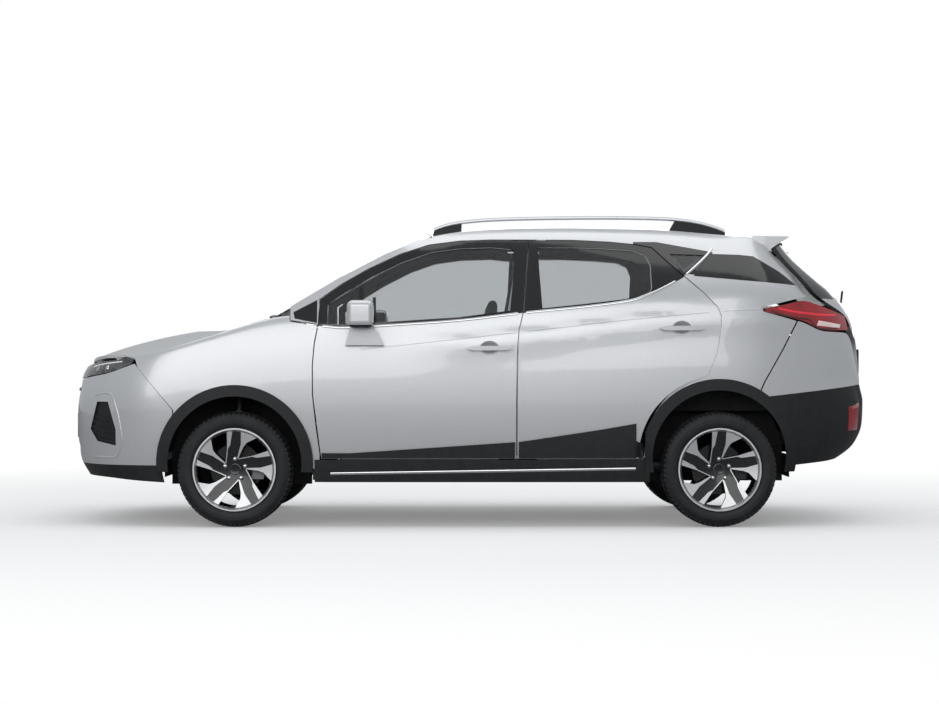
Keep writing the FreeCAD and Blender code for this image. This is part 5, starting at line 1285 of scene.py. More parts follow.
@dataclass
class SideTrim:
    """Bright and black strips and small panels on one side of the car.

    Attributes:
        side: the side that is trimmed.
        nodes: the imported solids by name.
        belt: the waist strip as (x, z), from the windscreen's foot to the roof.
        sill: the sill strip's two ends as (x, z).
        shoulder: the crease above the handles as (x, z).
        window_bar: the front glass's thin upright bar as (x, z).
        intake_crease: the crease round the bumper's side intake as (x, z).
        cladding_end: the corners of the rear door's last piece of cladding as (x, z).
        step: distance between the points of a strip.
    """

    side: Side
    nodes: Nodes
    belt: Line = (
        (-0.985, 1.1235), (-0.900, 1.110), (-0.836, 1.100), (-0.760, 1.090), (-0.673, 1.086), (-0.400, 1.102),
        (-0.058, 1.126), (0.280, 1.166), (0.620, 1.200), (0.857, 1.232), (0.960, 1.264), (1.042, 1.299),
        (1.162, 1.365), (1.240, 1.429), (1.303, 1.489), (1.335, 1.528))
    sill: Line = ((-0.762, 0.292), (0.897, 0.319))
    shoulder: Line = ((-0.600, 0.968), (0.376, 1.076), (0.811, 1.126), (1.350, 1.176), (1.585, 1.189))
    window_bar: Line = ((-0.600, 1.107), (-0.600, 1.372))
    intake_crease: Line = (
        (-2.075, 0.716), (-2.036, 0.727), (-1.984, 0.729), (-1.963, 0.708), (-1.932, 0.614),
        (-1.911, 0.499), (-1.911, 0.457), (-1.936, 0.390), (-1.963, 0.378), (-2.080, 0.376))
    cladding_end: Line = ((0.893, 0.381), (0.928, 0.381), (0.921, 0.462), (0.893, 0.474))
    step: float = 0.03

    def build(self) -> None:
        """Makes the strips of this side."""
        self.make_belt()
        self.make_sill()
        self.make_window_bar()
        self.make_repeater()
        self.make_crease()
        self.make_shoulder()
        self.make_cladding_end()
        if self.side is Side.RIGHT:
            self.make_fuel_flap()

    def line(self, points: Sequence[tuple[float, float]], step: float) -> list[Vector]:
        """Turns (x, z) points to a line beside the car.

        Args:
            points: the line's corners.
            step: distance between two results.

        Returns:
            Points one metre out on this side.
        """
        return [Vector((x, self.side.value, z)) for x, z in smooth_line(points, step)]

    def lay(self, name: str, panels: Sequence[str], points: Sequence[Vector],
            size: tuple[float, ...], body: str, finish: Finish) -> None:
        """Lays one strip on this side's panels.

        Args:
            name: the strip's name without the side.
            panels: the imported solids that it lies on.
            points: its line beside the car.
            size: its width and height, and how deep its foot goes in where that isn't the usual depth.
            body: what it moves with.
            finish: what it wears.
        """
        target = Target([self.nodes[panel] for panel in panels])
        strip = strip_on(f"{name}_{self.side.word}", target, points, self.side.inwards, *size)
        settle(strip, body, finish)

    def make_belt(self) -> None:
        """Makes the bright waist strip in four lengths, one on each panel."""
        word = self.side.word
        spans = (("wing", -0.990, -0.836, "body", ("front_wings", f"body_side_{word}", "pillar_panels")),
                 ("front_door", -0.816, 0.262, f"door_front_{word}",
                  (f"door_front_{word}", f"door_cladding_front_{word}")),
                 ("rear_door", 0.302, 1.128, f"door_rear_{word}",
                  (f"door_rear_{word}", f"door_cladding_rear_{word}")),
                 ("quarter", 1.176, 1.336, "body", (f"body_side_{word}", "pillar_panels", "fixed_glass")))
        whole = smooth_line(self.belt, self.step / 2)
        for name, low, high, body, panels in spans:
            points = [Vector((x, self.side.value, z)) for x, z in whole if low <= x <= high]
            self.lay(f"waist_strip_{name}", panels, points, (0.013, 0.0035), body, CHROME)

    def make_sill(self) -> None:
        """Makes the bright strip along the sill cladding."""
        self.lay("sill_strip", ["sill_and_arch_cladding"], self.line(self.sill, 0.06), (0.014, 0.0035),
                 "body", CHROME)

    def make_window_bar(self) -> None:
        """Makes the thin black bar across the front door's glass."""
        word = self.side.word
        self.lay("window_bar", [f"glass_front_{word}"], self.line(self.window_bar, 0.03),
                 (0.020, 0.004, 0.001), f"door_front_{word}", SEAL_AND_SHADE)

    def make_repeater(self) -> None:
        """Makes the amber turn lamp along the mirror's outer face."""
        word = self.side.word
        sign = self.side.value
        target = Target([self.nodes[f"mirror_{word}"]])
        points = [Vector((-1.0, sign * y, 1.142 + 0.006 * (y - 0.93) / 0.08))
                  for y in np.linspace(0.93, 1.022, 9)]
        strip = strip_on(f"mirror_turn_lamp_{word}", target, points, Vector((1.0, 0.0, 0.0)), 0.009, 0.002)
        settle(strip, f"door_front_{word}", AMBER_LENS)

    def make_crease(self) -> None:
        """Makes the raised crease that frames the bumper's side intake."""
        self.lay("bumper_crease", ["front_bumper"], self.line(self.intake_crease, 0.012), (0.010, 0.0035),
                 "body", PAINT)

    def make_shoulder(self) -> None:
        """Makes the sharp crease along the shoulder, a length on each panel."""
        word = self.side.word
        whole = smooth_line(self.shoulder, self.step / 2)
        for name, low, high, body, panel in (
                ("front_door", -0.60, 0.260, f"door_front_{word}", f"door_front_{word}"),
                ("rear_door", 0.305, 1.310, f"door_rear_{word}", f"door_rear_{word}"),
                ("quarter", 1.365, 1.580, "body", f"body_side_{word}")):
            points = [Vector((x, self.side.value, z)) for x, z in whole if low <= x <= high]
            self.lay(f"shoulder_crease_{name}", [panel], points, (0.007, 0.002), body, PAINT)

    def make_cladding_end(self) -> None:
        """Makes the end piece that takes the rear door's cladding to the wheel arch."""
        word = self.side.word
        target = Target([self.nodes[f"door_rear_{word}"]])
        corners = [Vector((x, self.side.value, z)) for x, z in self.cladding_end]
        piece = plate_on(f"cladding_end_{word}", target, corners, self.side.inwards, 0.003, 0.002, (4, 6))
        settle(piece, f"door_rear_{word}", CLADDING)

    def make_fuel_flap(self) -> None:
        """Makes the dark joint round the filler flap."""
        aim = self.side.inwards
        target = Target([self.nodes[f"body_side_{self.side.word}"]])
        ring = []
        for step in range(65):
            angle = 2.0 * math.pi * step / 64
            x = 1.520 + 0.078 * math.copysign(abs(math.cos(angle)) ** 0.5, math.cos(angle))
            z = 1.035 + 0.070 * math.copysign(abs(math.sin(angle)) ** 0.5, math.sin(angle))
            ring.append(Vector((x, self.side.value, z)))
        joint = strip_on("filler_flap_joint", target, ring, aim, 0.003, 0.0006, 0.001)
        settle(joint, "body", SEAL_AND_SHADE)


@dataclass
class WheelHouse:
    """The inner wall of one wheel house, which closes the liner towards the car's middle.

    Attributes:
        name: the wheel's name.
        side: the side it is on.
        middle: X and Z of the arch's centre.
        radius: the liner's radius.
        walls: how far out each part of the wall stands, and its lowest and highest level.
        shield: the splash shields' inner and outer reach and their foot.
    """

    name: str
    side: Side
    middle: tuple[float, float]
    walls: tuple[tuple[float, float, float], ...]
    shield: Point = (0.34, 0.745, 0.268)
    radius: float = 0.3945
    thickness: float = 0.004
    columns: int = 32

    def build(self) -> None:
        """Makes the wall from upright pieces of a disc."""
        parts = []
        for number, (out, low, high) in enumerate(self.walls):
            rings = []
            for column in range(self.columns + 1):
                x = self.radius * 0.9985 * math.cos(math.pi * column / self.columns)
                rise = math.sqrt(self.radius ** 2 - x ** 2)
                top = min(high, self.middle[1] + rise)
                foot = min(low, top - 0.002)
                y0 = self.side.value * out
                y1 = self.side.value * (out - self.thickness)
                bulge = -self.side.value * 0.006 * math.sin(math.pi * column / self.columns) ** 2
                rings.append([(self.middle[0] + x, y0 + bulge, foot), (self.middle[0] + x, y0 + bulge, top),
                              (self.middle[0] + x, y1 + bulge, top), (self.middle[0] + x, y1 + bulge, foot)])
            parts.append(loft(f"wall_{self.name}_{number}", rings))
        for number, way in enumerate((-1.0, 1.0)):
            x0, x1 = sorted(self.middle[0] + way * (self.radius + reach) for reach in (-0.003, 0.002))
            y0, y1 = sorted((self.side.value * self.shield[0], self.side.value * self.shield[1]))
            parts.append(rounded_block(f"shield_{self.name}_{number}", (x0, y0, self.shield[2]),
                                       (x1, y1, self.middle[1] + 0.012), 0.001, 1))
        settle(joined(f"wheelhouse_wall_{self.name}", parts), "body", UNDERBODY)


@dataclass
class FrontLamp:
    """What shows through one headlamp's lens: two bowls and a light bar.

    Attributes:
        side: the lamp's side.
        lamp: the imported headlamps.
        bowls: Y, Z and radius of each bowl.
        bar: the light bar as (y, z).
        bowl_profile: share of the radius and depth, from the bowl's middle to its rear edge.
        bowl_steps: how many points go round a bowl.
        bar_depth: how far behind the lens's face the bar lies.
        bowl_depth: how far behind it the bowls lie.
    """

    side: Side
    lamp: Piece
    bowls: tuple[tuple[float, float, float], ...] = ((0.690, 0.862, 0.020), (0.625, 0.852, 0.020))
    bar: Line = ((0.560, 0.868), (0.620, 0.881), (0.690, 0.893), (0.735, 0.900))
    bowl_profile: Line = ((0.1, -0.0105), (0.4, -0.0095), (0.7, -0.006), (0.86, -0.001),
                          (1.0, 0.0), (1.05, 0.003), (1.02, 0.014), (0.6, 0.022))
    bowl_steps: int = 28
    bar_depth: float = 0.020
    bowl_depth: float = 0.016

    def build(self) -> None:
        """Makes the lamp's internals in the thickness of the lens."""
        sign = self.side.value
        target = Target([self.lamp])
        aim = Vector((1.0, 0.0, 0.0))
        line = []
        for y, z in smooth_line(self.bar, 0.012):
            hit = target.hit(Vector((-FAR_OUT, sign * y, z)), aim)
            if hit is not None:
                line.append(hit[0] + aim * self.bar_depth)
        if len(line) > 3:
            rings = [[point + Vector((dx, 0.0, dz)) for dx, dz in
                      ((-0.004, -0.004), (-0.004, 0.004), (0.004, 0.004), (0.004, -0.004))]
                     for point in line]
            settle(loft(f"headlamp_bar_{self.side.word}", rings), "body", LED_BAR)
        for number, (y, z, radius) in enumerate(self.bowls):
            hit = target.hit(Vector((-FAR_OUT, sign * y, z)), aim)
            if hit is None:
                continue
            front = hit[0] + aim * self.bowl_depth
            turn = [2 * math.pi * k / self.bowl_steps for k in range(self.bowl_steps)]
            rings = []
            for share, dx in self.bowl_profile:
                rings.append([(front.x + dx, front.y + radius * share * math.cos(angle),
                               front.z + radius * share * math.sin(angle)) for angle in turn])
            settle(loft(f"headlamp_bowl_{self.side.word}_{number}", rings), "body", CHROME)


@dataclass
class RearLamps:
    """Optics, rims, light guides and reflectors at the rear.

    Attributes:
        nodes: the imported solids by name.
        rim: the lens's dark lower rim as (x, z).
        guide: the light guide's line as (x, z).
    """

    nodes: Nodes
    rim: Line = ((1.640, 1.180), (1.700, 1.156), (1.790, 1.140), (1.850, 1.133),
                 (1.885, 1.104), (1.925, 1.082), (2.030, 1.086))
    guide: Line = ((1.680, 1.192), (1.760, 1.176), (1.850, 1.166), (1.920, 1.160), (2.020, 1.160))

    def build(self) -> None:
        """Makes the pieces of both sides."""
        for side in Side:
            self.make_optic(side)
            self.make_guides(side)
            self.make_reflector(side)
        self.make_high_lamp()

    def make_optic(self, side: Side) -> None:
        """Makes the pale optic in the middle of the lamp.

        Args:
            side: the lamp's side.
        """
        target = Target([self.nodes["tail_lamps"]])
        corners = [Vector((x, side.value, z)) for x, z in
                   ((1.900, 1.100), (2.045, 1.088), (2.052, 1.108), (1.912, 1.128))]
        optic = plate_on(f"tail_optic_{side.word}", target, corners, side.inwards, 0.0015, 0.004, (10, 4))
        settle(optic, "body", PALE_RED_LENS)

    def make_guides(self, side: Side) -> None:
        """Makes the lamp's dark rim along its lower edge and the bright guide above it.

        Args:
            side: the lamp's side.
        """
        target = Target([self.nodes["tail_lamps"]])
        for name, points, width, finish in (
                ("rim", self.rim, 0.010, DEEP_RED_LENS), ("guide", self.guide, 0.012, BRIGHT_RED_LENS)):
            line = [Vector((x, side.value, z)) for x, z in smooth_line(points, 0.012)]
            strip = strip_on(f"tail_{name}_{side.word}", target, line, side.inwards, width, 0.0012)
            settle(strip, "body", finish)

    def make_reflector(self, side: Side) -> None:
        """Makes the upright red reflector on the bumper's corner.

        Args:
            side: the reflector's side.
        """
        aim = Vector((-0.55, -side.value * 0.835, 0.0))
        target = Target([self.nodes["lower_bumpers"]])
        corners = [Vector((x, side.value * y, z)) for x, y, z in
                   ((2.150, 0.72, 0.520), (2.215, 0.60, 0.520), (2.215, 0.60, 0.672), (2.150, 0.72, 0.650))]
        # The reflector wears the lamps' red lens, whose small glow is painted light on a part that is no
        # lamp.
        patch = plate_on(f"rear_reflector_{side.word}", target, corners, aim, 0.004, 0.004, (8, 8))
        settle(patch, "body", RED_LENS)

    def make_high_lamp(self) -> None:
        """Makes the brake lamp under the spoiler's edge."""
        target = Target([self.nodes["tailgate"]])
        points = [Vector((FAR_OUT, y, 1.588)) for y in np.linspace(-0.16, 0.16, 17)]
        strip = strip_on("high_brake_lamp", target, points, Vector((-1.0, 0.0, 0.0)), 0.012, 0.003)
        settle(strip, "tailgate", RED_LENS)


@dataclass
class Plates:
    """Blank number plates in plain holders.

    Attributes:
        nodes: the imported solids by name.
    """

    nodes: Nodes
    half_width: float = 0.245
    half_height: float = 0.062

    def build(self) -> None:
        """Makes both plates."""
        self.make_plate("front", -1.0, 0.540, "body", ("front_bumper", "front_grille", "lower_bumpers"))
        self.make_plate("rear", 1.0, 0.905, "tailgate", ("tailgate",))

    def make_plate(self, name: str, way: float, middle: float, body: str, panels: Sequence[str]) -> None:
        """Makes one plate that rests on the foremost or rearmost point behind it.

        Args:
            name: front or rear.
            way: -1 to face forwards, 1 to face rearwards.
            middle: height of its middle.
            body: what it moves with.
            panels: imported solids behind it.
        """
        target = Target([self.nodes[panel] for panel in panels])
        aim = Vector((-way, 0.0, 0.0))
        spots = []
        for y in np.linspace(-self.half_width, self.half_width, 5):
            for z in (middle - self.half_height, middle, middle + self.half_height):
                hit = target.hit(Vector((way * FAR_OUT, y, z)), aim)
                if hit is not None:
                    spots.append(hit[0].x * way)
        seat = max(spots) if spots else 2.25
        for part, grow, low, high, finish in (("holder", 0.006, -0.006, 0.004, CLADDING),
                                              ("plate", 0.0, 0.003, 0.0055, PLATE_WHITE)):
            x0, x1 = sorted((way * (seat + low), way * (seat + high)))
            block = rounded_block(f"{name}_blank_{part}",
                                  (x0, -self.half_width - grow, middle - self.half_height - grow),
                                  (x1, self.half_width + grow, middle + self.half_height + grow), 0.0012, 2)
            settle(block, body, finish)


@dataclass
class ScreenWipers:
    """Two wipers, parked along the windscreen's foot.

    Attributes:
        nodes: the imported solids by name.
        arms: Y and X of each arm's foot and tip.
        throw_z: the height from which their lines are thrown down.
    """

    nodes: Nodes
    arms: tuple[tuple[float, float, float, float], ...] = (
        (-0.560, -1.118, -0.075, -1.125), (0.060, -1.140, 0.560, -1.065))
    throw_z: float = 1.6

    def build(self) -> None:
        """Makes the wipers on the glass."""
        target = Target([self.nodes["fixed_glass"], self.nodes["cowl_and_wipers"]])
        down = Vector((0.0, 0.0, -1.0))
        for number, (y0, x0, y1, x1) in enumerate(self.arms):
            line = [Vector((x0 + (x1 - x0) * t, y0 + (y1 - y0) * t, self.throw_z))
                    for t in np.linspace(0.0, 1.0, 18)]
            arm = strip_on(f"wiper_arm_{number}", target, line, down, 0.014, 0.016, 0.0)
            settle(arm, "body", CLADDING)


@dataclass
class Pad:
    """One upholstered pad: a rounded form that swells under its cover.

    Attributes:
        name: the piece's name.
        outline: side view corners as (x, z).
        middle: Y of its middle.
        half: half its width.
        slack: how much smaller it starts than its space.
        edge: radius of its edges before it swells.
        cap: farthest that a point may swell.
        voxel: size of the mesh's squares.
        pressure: the air's push on the cover.
        stretch: the cover's resistance to being stretched or squeezed.
        bend: its resistance to being bent.
        frames: how long it swells.
    """

    name: str
    outline: Line
    middle: float
    half: float
    slack: float = 0.012
    edge: float = 0.026
    cap: float = 0.024
    voxel: float = 0.0065
    pressure: float = 4.0
    stretch: float = 25.0
    bend: float = 0.8
    frames: int = 20

    def build(self) -> Piece:
        """Makes the pad and swells it.

        Returns:
            The finished pad, not yet riding on anything.
        """
        centre_x = sum(x for x, _ in self.outline) / len(self.outline)
        centre_z = sum(z for _, z in self.outline) / len(self.outline)
        rings = []
        for y in (self.middle - self.half + self.slack, self.middle + self.half - self.slack):
            ring = []
            for x, z in self.outline:
                reach = math.hypot(x - centre_x, z - centre_z)
                share = max(0.0, 1.0 - self.slack * 1.3 / reach)
                ring.append((centre_x + (x - centre_x) * share, y, centre_z + (z - centre_z) * share))
            rings.append(ring)
        pad = loft(self.name, rings)
        work = bmesh.new()
        work.from_mesh(pad.data)
        bmesh.ops.bevel(work, geom=list(work.edges), offset=self.edge, segments=4,
                        affect="EDGES", profile=0.5)
        work.to_mesh(pad.data)
        work.free()
        self.remesh(pad)
        self.swell(pad)
        return pad

    def remesh(self, pad: Piece) -> None:
        """Divides the pad's skin to even squares.

        Args:
            pad: the pad.
        """
        modifier = pad.modifiers.new("squares", "REMESH")
        modifier.mode = "VOXEL"
        modifier.voxel_size = self.voxel
        self.apply(pad, modifier)

    def swell(self, pad: Piece) -> None:
        """Blows the cover up against its own stiffness and caps how far each point moves.

        Args:
            pad: the pad.
        """
        rest = np.zeros(len(pad.data.vertices) * 3)
        pad.data.vertices.foreach_get("co", rest)
        modifier = pad.modifiers.new("cover", "CLOTH")
        settings = modifier.settings
        settings.use_pressure = True
        settings.uniform_pressure_force = self.pressure
        settings.effector_weights.gravity = 0.0
        settings.tension_stiffness = self.stretch
        settings.compression_stiffness = self.stretch
        settings.bending_stiffness = self.bend
        scene = bpy.context.scene
        for frame_number in range(1, self.frames + 1):
            scene.frame_set(frame_number)
        self.apply(pad, modifier)
        scene.frame_set(1)
        moved = np.zeros(len(rest))
        pad.data.vertices.foreach_get("co", moved)
        shift = (moved - rest).reshape(-1, 3)
        length = np.linalg.norm(shift, axis=1)
        share = np.minimum(1.0, self.cap / np.maximum(length, 1e-9))
        final = rest.reshape(-1, 3) + shift * share[:, None]
        pad.data.vertices.foreach_set("co", final.ravel())
        pad.data.update()

    def apply(self, pad: Piece, modifier: bpy.types.Modifier) -> None:
        """Turns a modifier's result to the pad's own mesh.

        Args:
            pad: the pad.
            modifier: the modifier, which is removed.
        """
        graph = bpy.context.evaluated_depsgraph_get()
        mesh = bpy.data.meshes.new_from_object(pad.evaluated_get(graph))
        pad.modifiers.remove(modifier)
        pad.data = mesh


@dataclass
class Seats:
    """Two front seats and the rear bench, with sewn channels across their pads.

    Attributes:
        repeat: not used.
    """

    repeat: RepeatTree
    front_x: float = -0.330
    front_y: float = 0.370
    front_half: float = 0.255
    headrest_half: float = 0.128

    def build(self) -> None:
        """Makes every pad and what carries it."""
        self.make_front()
        self.make_rear()

    def finish_pad(self, pad: Piece, node: str) -> None:
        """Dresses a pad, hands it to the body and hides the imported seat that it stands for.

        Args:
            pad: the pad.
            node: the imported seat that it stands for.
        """
        settle(pad, "body", SEAT_CLOTH, stands_for=(node,))

    def sewn_lines(self, name: str, pad: Piece, start: Vector, row: Vector, across: float,
                   aim: Vector, count: int) -> Piece:
        """Lays thin piping across a pad.

        Args:
            name: the piece's name.
            pad: the pad that carries it.
            start: middle of the first line.
            row: move from one line to the next.
            across: half the length of a line.
            aim: direction in which the lines are laid on.
            count: how many there are.

        Returns:
            The piping as one piece.
        """
        target = Target([pad])
        parts = []
        for number in range(count):
            middle = start + row * number
            line = [middle + Vector((0.0, across * t, 0.0)) for t in np.linspace(-1.0, 1.0, 15)]
            parts.append(strip_on(f"{name}_{number}", target, line, aim, 0.005, 0.0022, 0.002))
        return joined(name, parts)

    def make_front(self) -> None:
        """Makes the left seat and mirrors it."""
        x = self.front_x
        y = -self.front_y
        shapes = (("front_cushion", ((-0.250, 0.440), (0.235, 0.430), (0.220, 0.545), (-0.240, 0.575)),
                   self.front_half, 0.6),
                  ("front_back", ((0.185, 0.545), (0.300, 0.545), (0.468, 1.080), (0.378, 1.090)),
                   self.front_half, 0.6),
                  ("front_headrest", ((0.392, 1.110), (0.470, 1.100), (0.492, 1.255), (0.432, 1.268)),
                   self.headrest_half, 0.8))
        for name, shape, half, fill in shapes:
            outline = tuple((x + along, z) for along, z in shape)
            pad = Pad(f"{name}_left", outline, y, half).build()
            twin = mirrored_copy(pad, f"{name}_right")
            self.finish_pad(pad, "front_seats")
            self.finish_pad(twin, "front_seats")
            if name == "front_cushion":
                lines = self.sewn_lines("front_cushion_piping_left", pad, Vector((x - 0.16, y, 1.2)),
                                        Vector((0.09, 0.0, 0.0)), 0.150, Vector((0.0, 0.0, -1.0)), 4)
            elif name == "front_back":
                lines = self.sewn_lines("front_back_piping_left", pad, Vector((-1.0, y, 0.70)),
                                        Vector((0.0, 0.0, 0.085)), 0.150, Vector((1.0, 0.0, 0.0)), 4)
            else:
                continue
            twin_lines = mirrored_copy(lines, lines.name.replace("left", "right"))
            settle(lines, "body", SEAT_BOLSTER)
            settle(twin_lines, "body", SEAT_BOLSTER)
        foot = rounded_block("front_seat_base_left", (x - 0.200, y - 0.195, 0.302),
                             (x + 0.220, y + 0.195, 0.438), 0.018)
        posts = []
        for offset in (-0.06, 0.06):
            rings = []
            for share in (0.0, 0.5, 1.0):
                px = x + 0.418 + 0.022 * share
                pz = 1.055 + 0.075 * share
                rings.append([(px + 0.006 * math.cos(a), y + offset + 0.006 * math.sin(a), pz)
                              for a in np.linspace(0.0, 2.0 * math.pi, 13)[:-1]])
            posts.append(loft(f"post_{offset}", rings))
        bars = joined("headrest_posts_left", posts)
        for piece, slot, finish in ((foot, "cabin_plastic", CABIN_PLASTIC), (bars, "cast_steel", CHROME)):
            twin = mirrored_copy(piece, piece.name.replace("left", "right"))
            settle(piece, "body", finish, stands_for=("front_seats",))
            settle(twin, "body", finish, stands_for=("front_seats",))

    def make_rear(self) -> None:
        """Makes the bench in two outer parts and a narrow middle."""
        cushion = ((0.512, 0.480), (0.905, 0.480), (0.900, 0.600), (0.512, 0.632))
        back = ((0.832, 0.640), (0.935, 0.650), (1.092, 1.172), (1.016, 1.178))
        for name, outline in (("rear_cushion", cushion), ("rear_back", back)):
            outer = Pad(f"{name}_left", outline, -0.398, 0.218).build()
            twin = mirrored_copy(outer, f"{name}_right")
            inner = Pad(f"{name}_middle", outline, 0.0, 0.176).build()
            for pad in (outer, twin, inner):
                self.finish_pad(pad, "rear_seat")


@dataclass
class CabinFittings:
    """What shows through the glass: screen, vents, console lid, lever and door armrests.

    Attributes:
        repeat: the tree that repeats the vents' slats.
        nodes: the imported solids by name.
        armrest_z: height of the armrests.
    """

    repeat: RepeatTree
    nodes: Nodes
    armrest_z: float = 0.86

    def build(self) -> None:
        """Makes the fittings."""
        for name, low, high, radius, segments, finish in (
                ("centre_screen", (-0.735, -0.13, 0.985), (-0.712, 0.13, 1.125), 0.006, 3, GLOSS_BLACK),
                ("instrument_hood", (-0.79, -0.545, 1.03), (-0.69, -0.195, 1.085), 0.022, 3, CABIN_PLASTIC),
                ("gear_lever_knob", (-0.5, -0.024, 0.742), (-0.452, 0.024, 0.8), 0.016, 3, SEAT_BOLSTER),
                ("gear_lever", (-0.482, -0.008, 0.636), (-0.468, 0.008, 0.748), 0.004, 2, CHROME),
                ("console_lid", (-0.33, -0.095, 0.636), (-0.07, 0.095, 0.705), 0.02, 3, SEAT_BOLSTER)):
            settle(rounded_block(name, low, high, radius, segments), "body", finish)
        slat = rounded_block("centre_vent_slats", (-0.706, -0.120, 0.925), (-0.688, 0.120, 0.930), 0.001, 1)
        self.repeat.run(slat, 5, GLOSS_BLACK, row=(-0.0015, 0.0, 0.010))
        settle(slat, "body", GLOSS_BLACK)
        for side in Side:
            for row, x0, x1 in (("front", -0.62, 0.05), ("rear", 0.46, 1.02)):
                self.make_armrest(side, row, x0, x1)

    def make_armrest(self, side: Side, row: str, x0: float, x1: float) -> None:
        """Makes a door's armrest on its inner face.

        Args:
            side: the door's side.
            row: front or rear.
            x0: its front end.
            x1: its rear end.
        """
        door = self.nodes[f"door_{row}_{side.word}"]
        target = Target([door])
        hit = target.hit(Vector(((x0 + x1) / 2, 0.0, self.armrest_z)), -side.inwards)
        if hit is None:
            return
        wall = abs(hit[0].y)
        y0, y1 = sorted((side.value * (wall - 0.045), side.value * (wall + 0.004)))
        rest = rounded_block(f"armrest_{row}_{side.word}", (x0, y0, self.armrest_z - 0.035),
                             (x1, y1, self.armrest_z + 0.02), 0.014)
        settle(rest, f"door_{row}_{side.word}", SEAT_BOLSTER)


@dataclass
class EngineDress:
    """A ribbed cover on the plain engine block.

    Attributes:
        repeat: the tree that repeats the cover's ribs.
    """

    repeat: RepeatTree

    def build(self) -> None:
        """Makes the cover and its ribs."""
        cover = rounded_block("engine_cover", (-1.850, -0.260, 0.952), (-1.470, 0.240, 0.985), 0.012)
        settle(cover, "body", CLADDING)
        rib = rounded_block("engine_cover_ribs", (-1.820, -0.215, 0.983), (-1.500, -0.203, 0.990), 0.002, 1)
        self.repeat.run(rib, 9, CLADDING, row=(0.0, 0.05, 0.0))
        settle(rib, "body", CLADDING)


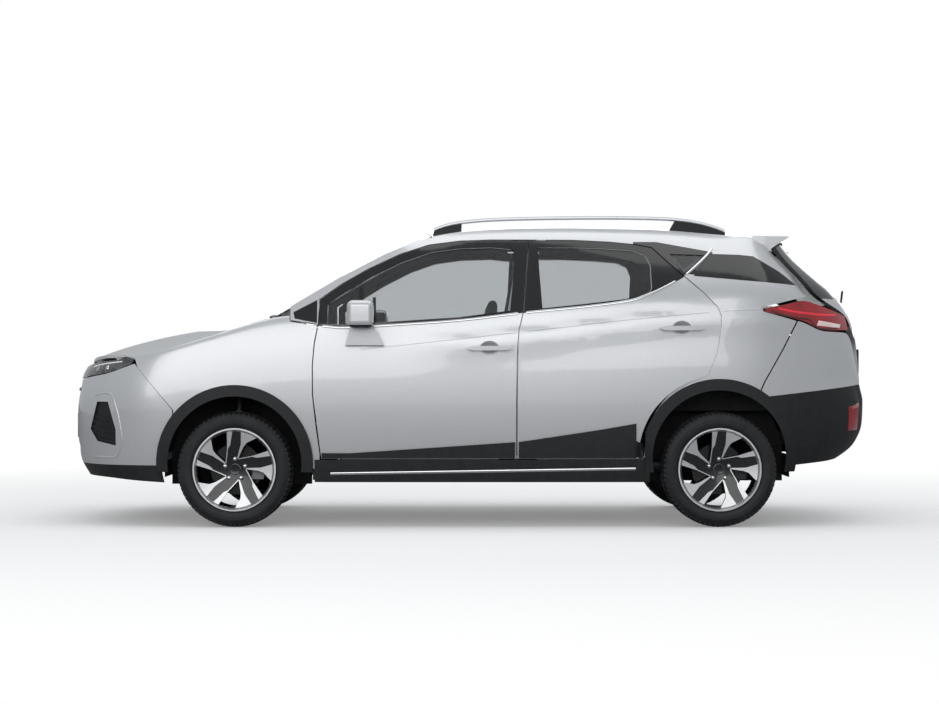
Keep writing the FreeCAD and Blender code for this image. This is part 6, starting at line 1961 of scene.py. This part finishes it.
@dataclass
class Studio:
    """The pale floor, soft lamps and the camera at the photograph's place.

    Attributes:
        camera_place: the camera's place in metres.
        focal_px: focal length in pixels of the 939 pixel wide frame.
        frame_width_px: that width.
        horizon_drop_px: how far the horizon lies below the frame's middle.
        sensor_mm: the camera's sensor width.
        floor_reach: half the floor's width.
        fade_from: distance from the car's middle at which the floor begins to turn to plain white.
        fade_to: distance at which it is plain white.
        floor_lit: the floor's colour for the light that it throws up at the car.
        floor_seen: its colour to the camera.
        floor_lift: how much light of its own the camera sees on it.
        sky: colour of the surround as a light.
        sky_power: its strength.
    """

    camera_place: Point = (-0.006, -11.9, 0.878)
    frame_width_px: float = 939.0
    focal_px: float = 2029.5
    horizon_drop_px: float = 14.0
    sensor_mm: float = 36.0
    floor_reach: float = 60.0
    fade_from: float = 2.9
    fade_to: float = 6.5
    floor_lit: tuple[float, ...] = (0.34, 0.34, 0.35, 1.0)
    floor_seen: tuple[float, ...] = (0.90, 0.90, 0.90, 1.0)
    floor_lift: float = 0.22
    sky: tuple[float, ...] = (0.94, 0.97, 1.0, 1.0)
    sky_power: float = 0.46

    def build(self) -> None:
        """Makes the camera, world, floor and lamps."""
        self.make_camera()
        self.make_world()
        self.make_floor()
        self.make_lamps()

    def make_camera(self) -> None:
        """Makes the camera level and square to the left side."""
        data = bpy.data.cameras.new("photo_camera")
        data.sensor_width = self.sensor_mm
        data.lens = self.sensor_mm * self.focal_px / self.frame_width_px
        data.shift_y = self.horizon_drop_px / self.frame_width_px
        camera = bpy.data.objects.new("photo_camera", data)
        camera.location = self.camera_place
        camera.rotation_euler = (math.pi / 2, 0.0, 0.0)
        bpy.context.scene.collection.objects.link(camera)
        bpy.context.scene.camera = camera
        bpy.context.scene.view_settings.view_transform = "Standard"

    def make_world(self) -> None:
        """Makes a pale surround that shows as white to the camera."""
        world = bpy.data.worlds.new("pale_surround")
        bpy.context.scene.world = world
        world.use_nodes = True
        tree = world.node_tree
        tree.nodes.clear()
        rays = add_node(tree, "ShaderNodeLightPath")
        direct = combine(tree, "MAXIMUM", rays.outputs["Is Camera Ray"], rays.outputs["Is Transmission Ray"])
        white = add_node(tree, "ShaderNodeBackground", {"Color": WHITE, "Strength": 1.0})
        soft = add_node(tree, "ShaderNodeBackground", {"Color": self.sky, "Strength": self.sky_power})
        mix = add_node(tree, "ShaderNodeMixShader", None,
                       {0: direct, 1: soft.outputs[0], 2: white.outputs[0]})
        add_node(tree, "ShaderNodeOutputWorld", None, {"Surface": mix.outputs[0]})

    def make_floor(self) -> None:
        """Makes the pale floor, which keeps the car's shadow."""
        reach = self.floor_reach
        floor = make_piece("studio_floor", [(-reach, -reach, 0.0), (reach, -reach, 0.0), (reach, reach, 0.0),
                                            (-reach, reach, 0.0)], [(0, 1, 2, 3)])
        material, tree = new_material("matt_white_cove")
        rays = add_node(tree, "ShaderNodeLightPath")
        direct = combine(tree, "MAXIMUM", rays.outputs["Is Camera Ray"], rays.outputs["Is Transmission Ray"])
        lit = add_node(tree, "ShaderNodeBsdfDiffuse", {"Color": self.floor_lit})
        seen = add_node(tree, "ShaderNodeBsdfDiffuse", {"Color": self.floor_seen})
        lift = add_node(tree, "ShaderNodeEmission", {"Color": WHITE, "Strength": self.floor_lift})
        both = add_node(tree, "ShaderNodeAddShader", None, {0: seen.outputs[0], 1: lift.outputs[0]})
        far = add_node(tree, "ShaderNodeVectorMath", {"operation": "LENGTH"}, {0: object_place(tree)})
        fade = add_node(tree, "ShaderNodeMapRange", {1: self.fade_from, 2: self.fade_to, 3: 0.0, 4: 1.0},
                        {0: far.outputs["Value"]})
        white = add_node(tree, "ShaderNodeEmission", {"Color": WHITE, "Strength": 1.0})
        shown = add_node(tree, "ShaderNodeMixShader", None,
                         {0: fade.outputs[0], 1: both.outputs[0], 2: white.outputs[0]})
        mix = add_node(tree, "ShaderNodeMixShader", None,
                       {0: direct, 1: lit.outputs[0], 2: shown.outputs[0]})
        add_node(tree, "ShaderNodeOutputMaterial", None, {"Surface": mix.outputs[0]})
        floor.data.materials.append(material)

    def make_lamps(self) -> None:
        """Hangs a wide soft box overhead and one at each side."""
        for name, place, aim, size, power in (
                ("overhead_box", (0.0, -0.6, 5.4), (0.0, 0.0, 0.5), (7.5, 3.4), 84.0),
                ("left_box", (-1.6, -7.8, 3.0), (-0.5, 0.0, 0.9), (9.0, 3.4), 158.0),
                ("right_box", (1.6, 7.8, 3.0), (0.5, 0.0, 0.9), (9.0, 3.4), 150.0)):
            data = bpy.data.lights.new(name, "AREA")
            data.shape = "RECTANGLE"
            data.size, data.size_y = size
            data.energy = power
            lamp = bpy.data.objects.new(name, data)
            lamp.location = place
            lamp.rotation_euler = (Vector(aim) - Vector(place)).to_track_quat("-Z", "Y").to_euler()
            lamp.visible_camera = False
            lamp.visible_transmission = False
            bpy.context.scene.collection.objects.link(lamp)


def main(frame: dict) -> None:
    """Builds the studio and every sub-assembly in order.

    Args:
        frame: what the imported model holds.
    """
    nodes = frame["nodes"]
    Studio().build()
    Bodywork(nodes).build()
    repeat = RepeatTree("repeated_fittings")
    for row, centre_x in (("front", FRONT_AXLE_X), ("rear", REAR_AXLE_X)):
        for side in Side:
            wheel = f"{row}_{side.word}"
            centre = (centre_x, side.value * WHEEL_Y, WHEEL_Z)
            Tyre(wheel, centre, repeat).build()
            WheelFittings(wheel, side, centre, repeat, nodes[f"rim_{wheel}"]).build()
            if row == "front":
                WheelHouse(wheel, side, (centre_x, 0.347), ((0.476, 0.215, 0.80),)).build()
            else:
                WheelHouse(wheel, side, (centre_x, 0.380),
                           ((0.500, 0.235, 0.629), (0.637, 0.662, 0.80))).build()
    for side in Side:
        SideTrim(side, nodes).build()
        FrontLamp(side, nodes["headlamps"]).build()
    RearLamps(nodes).build()
    Plates(nodes).build()
    ScreenWipers(nodes).build()
    CabinFittings(repeat, nodes).build()
    EngineDress(repeat).build()
    Seats(repeat).build()


if __name__ == "__main__":
    logging.basicConfig(level=logging.INFO, format="%(message)s")
    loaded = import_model()
    main(loaded)
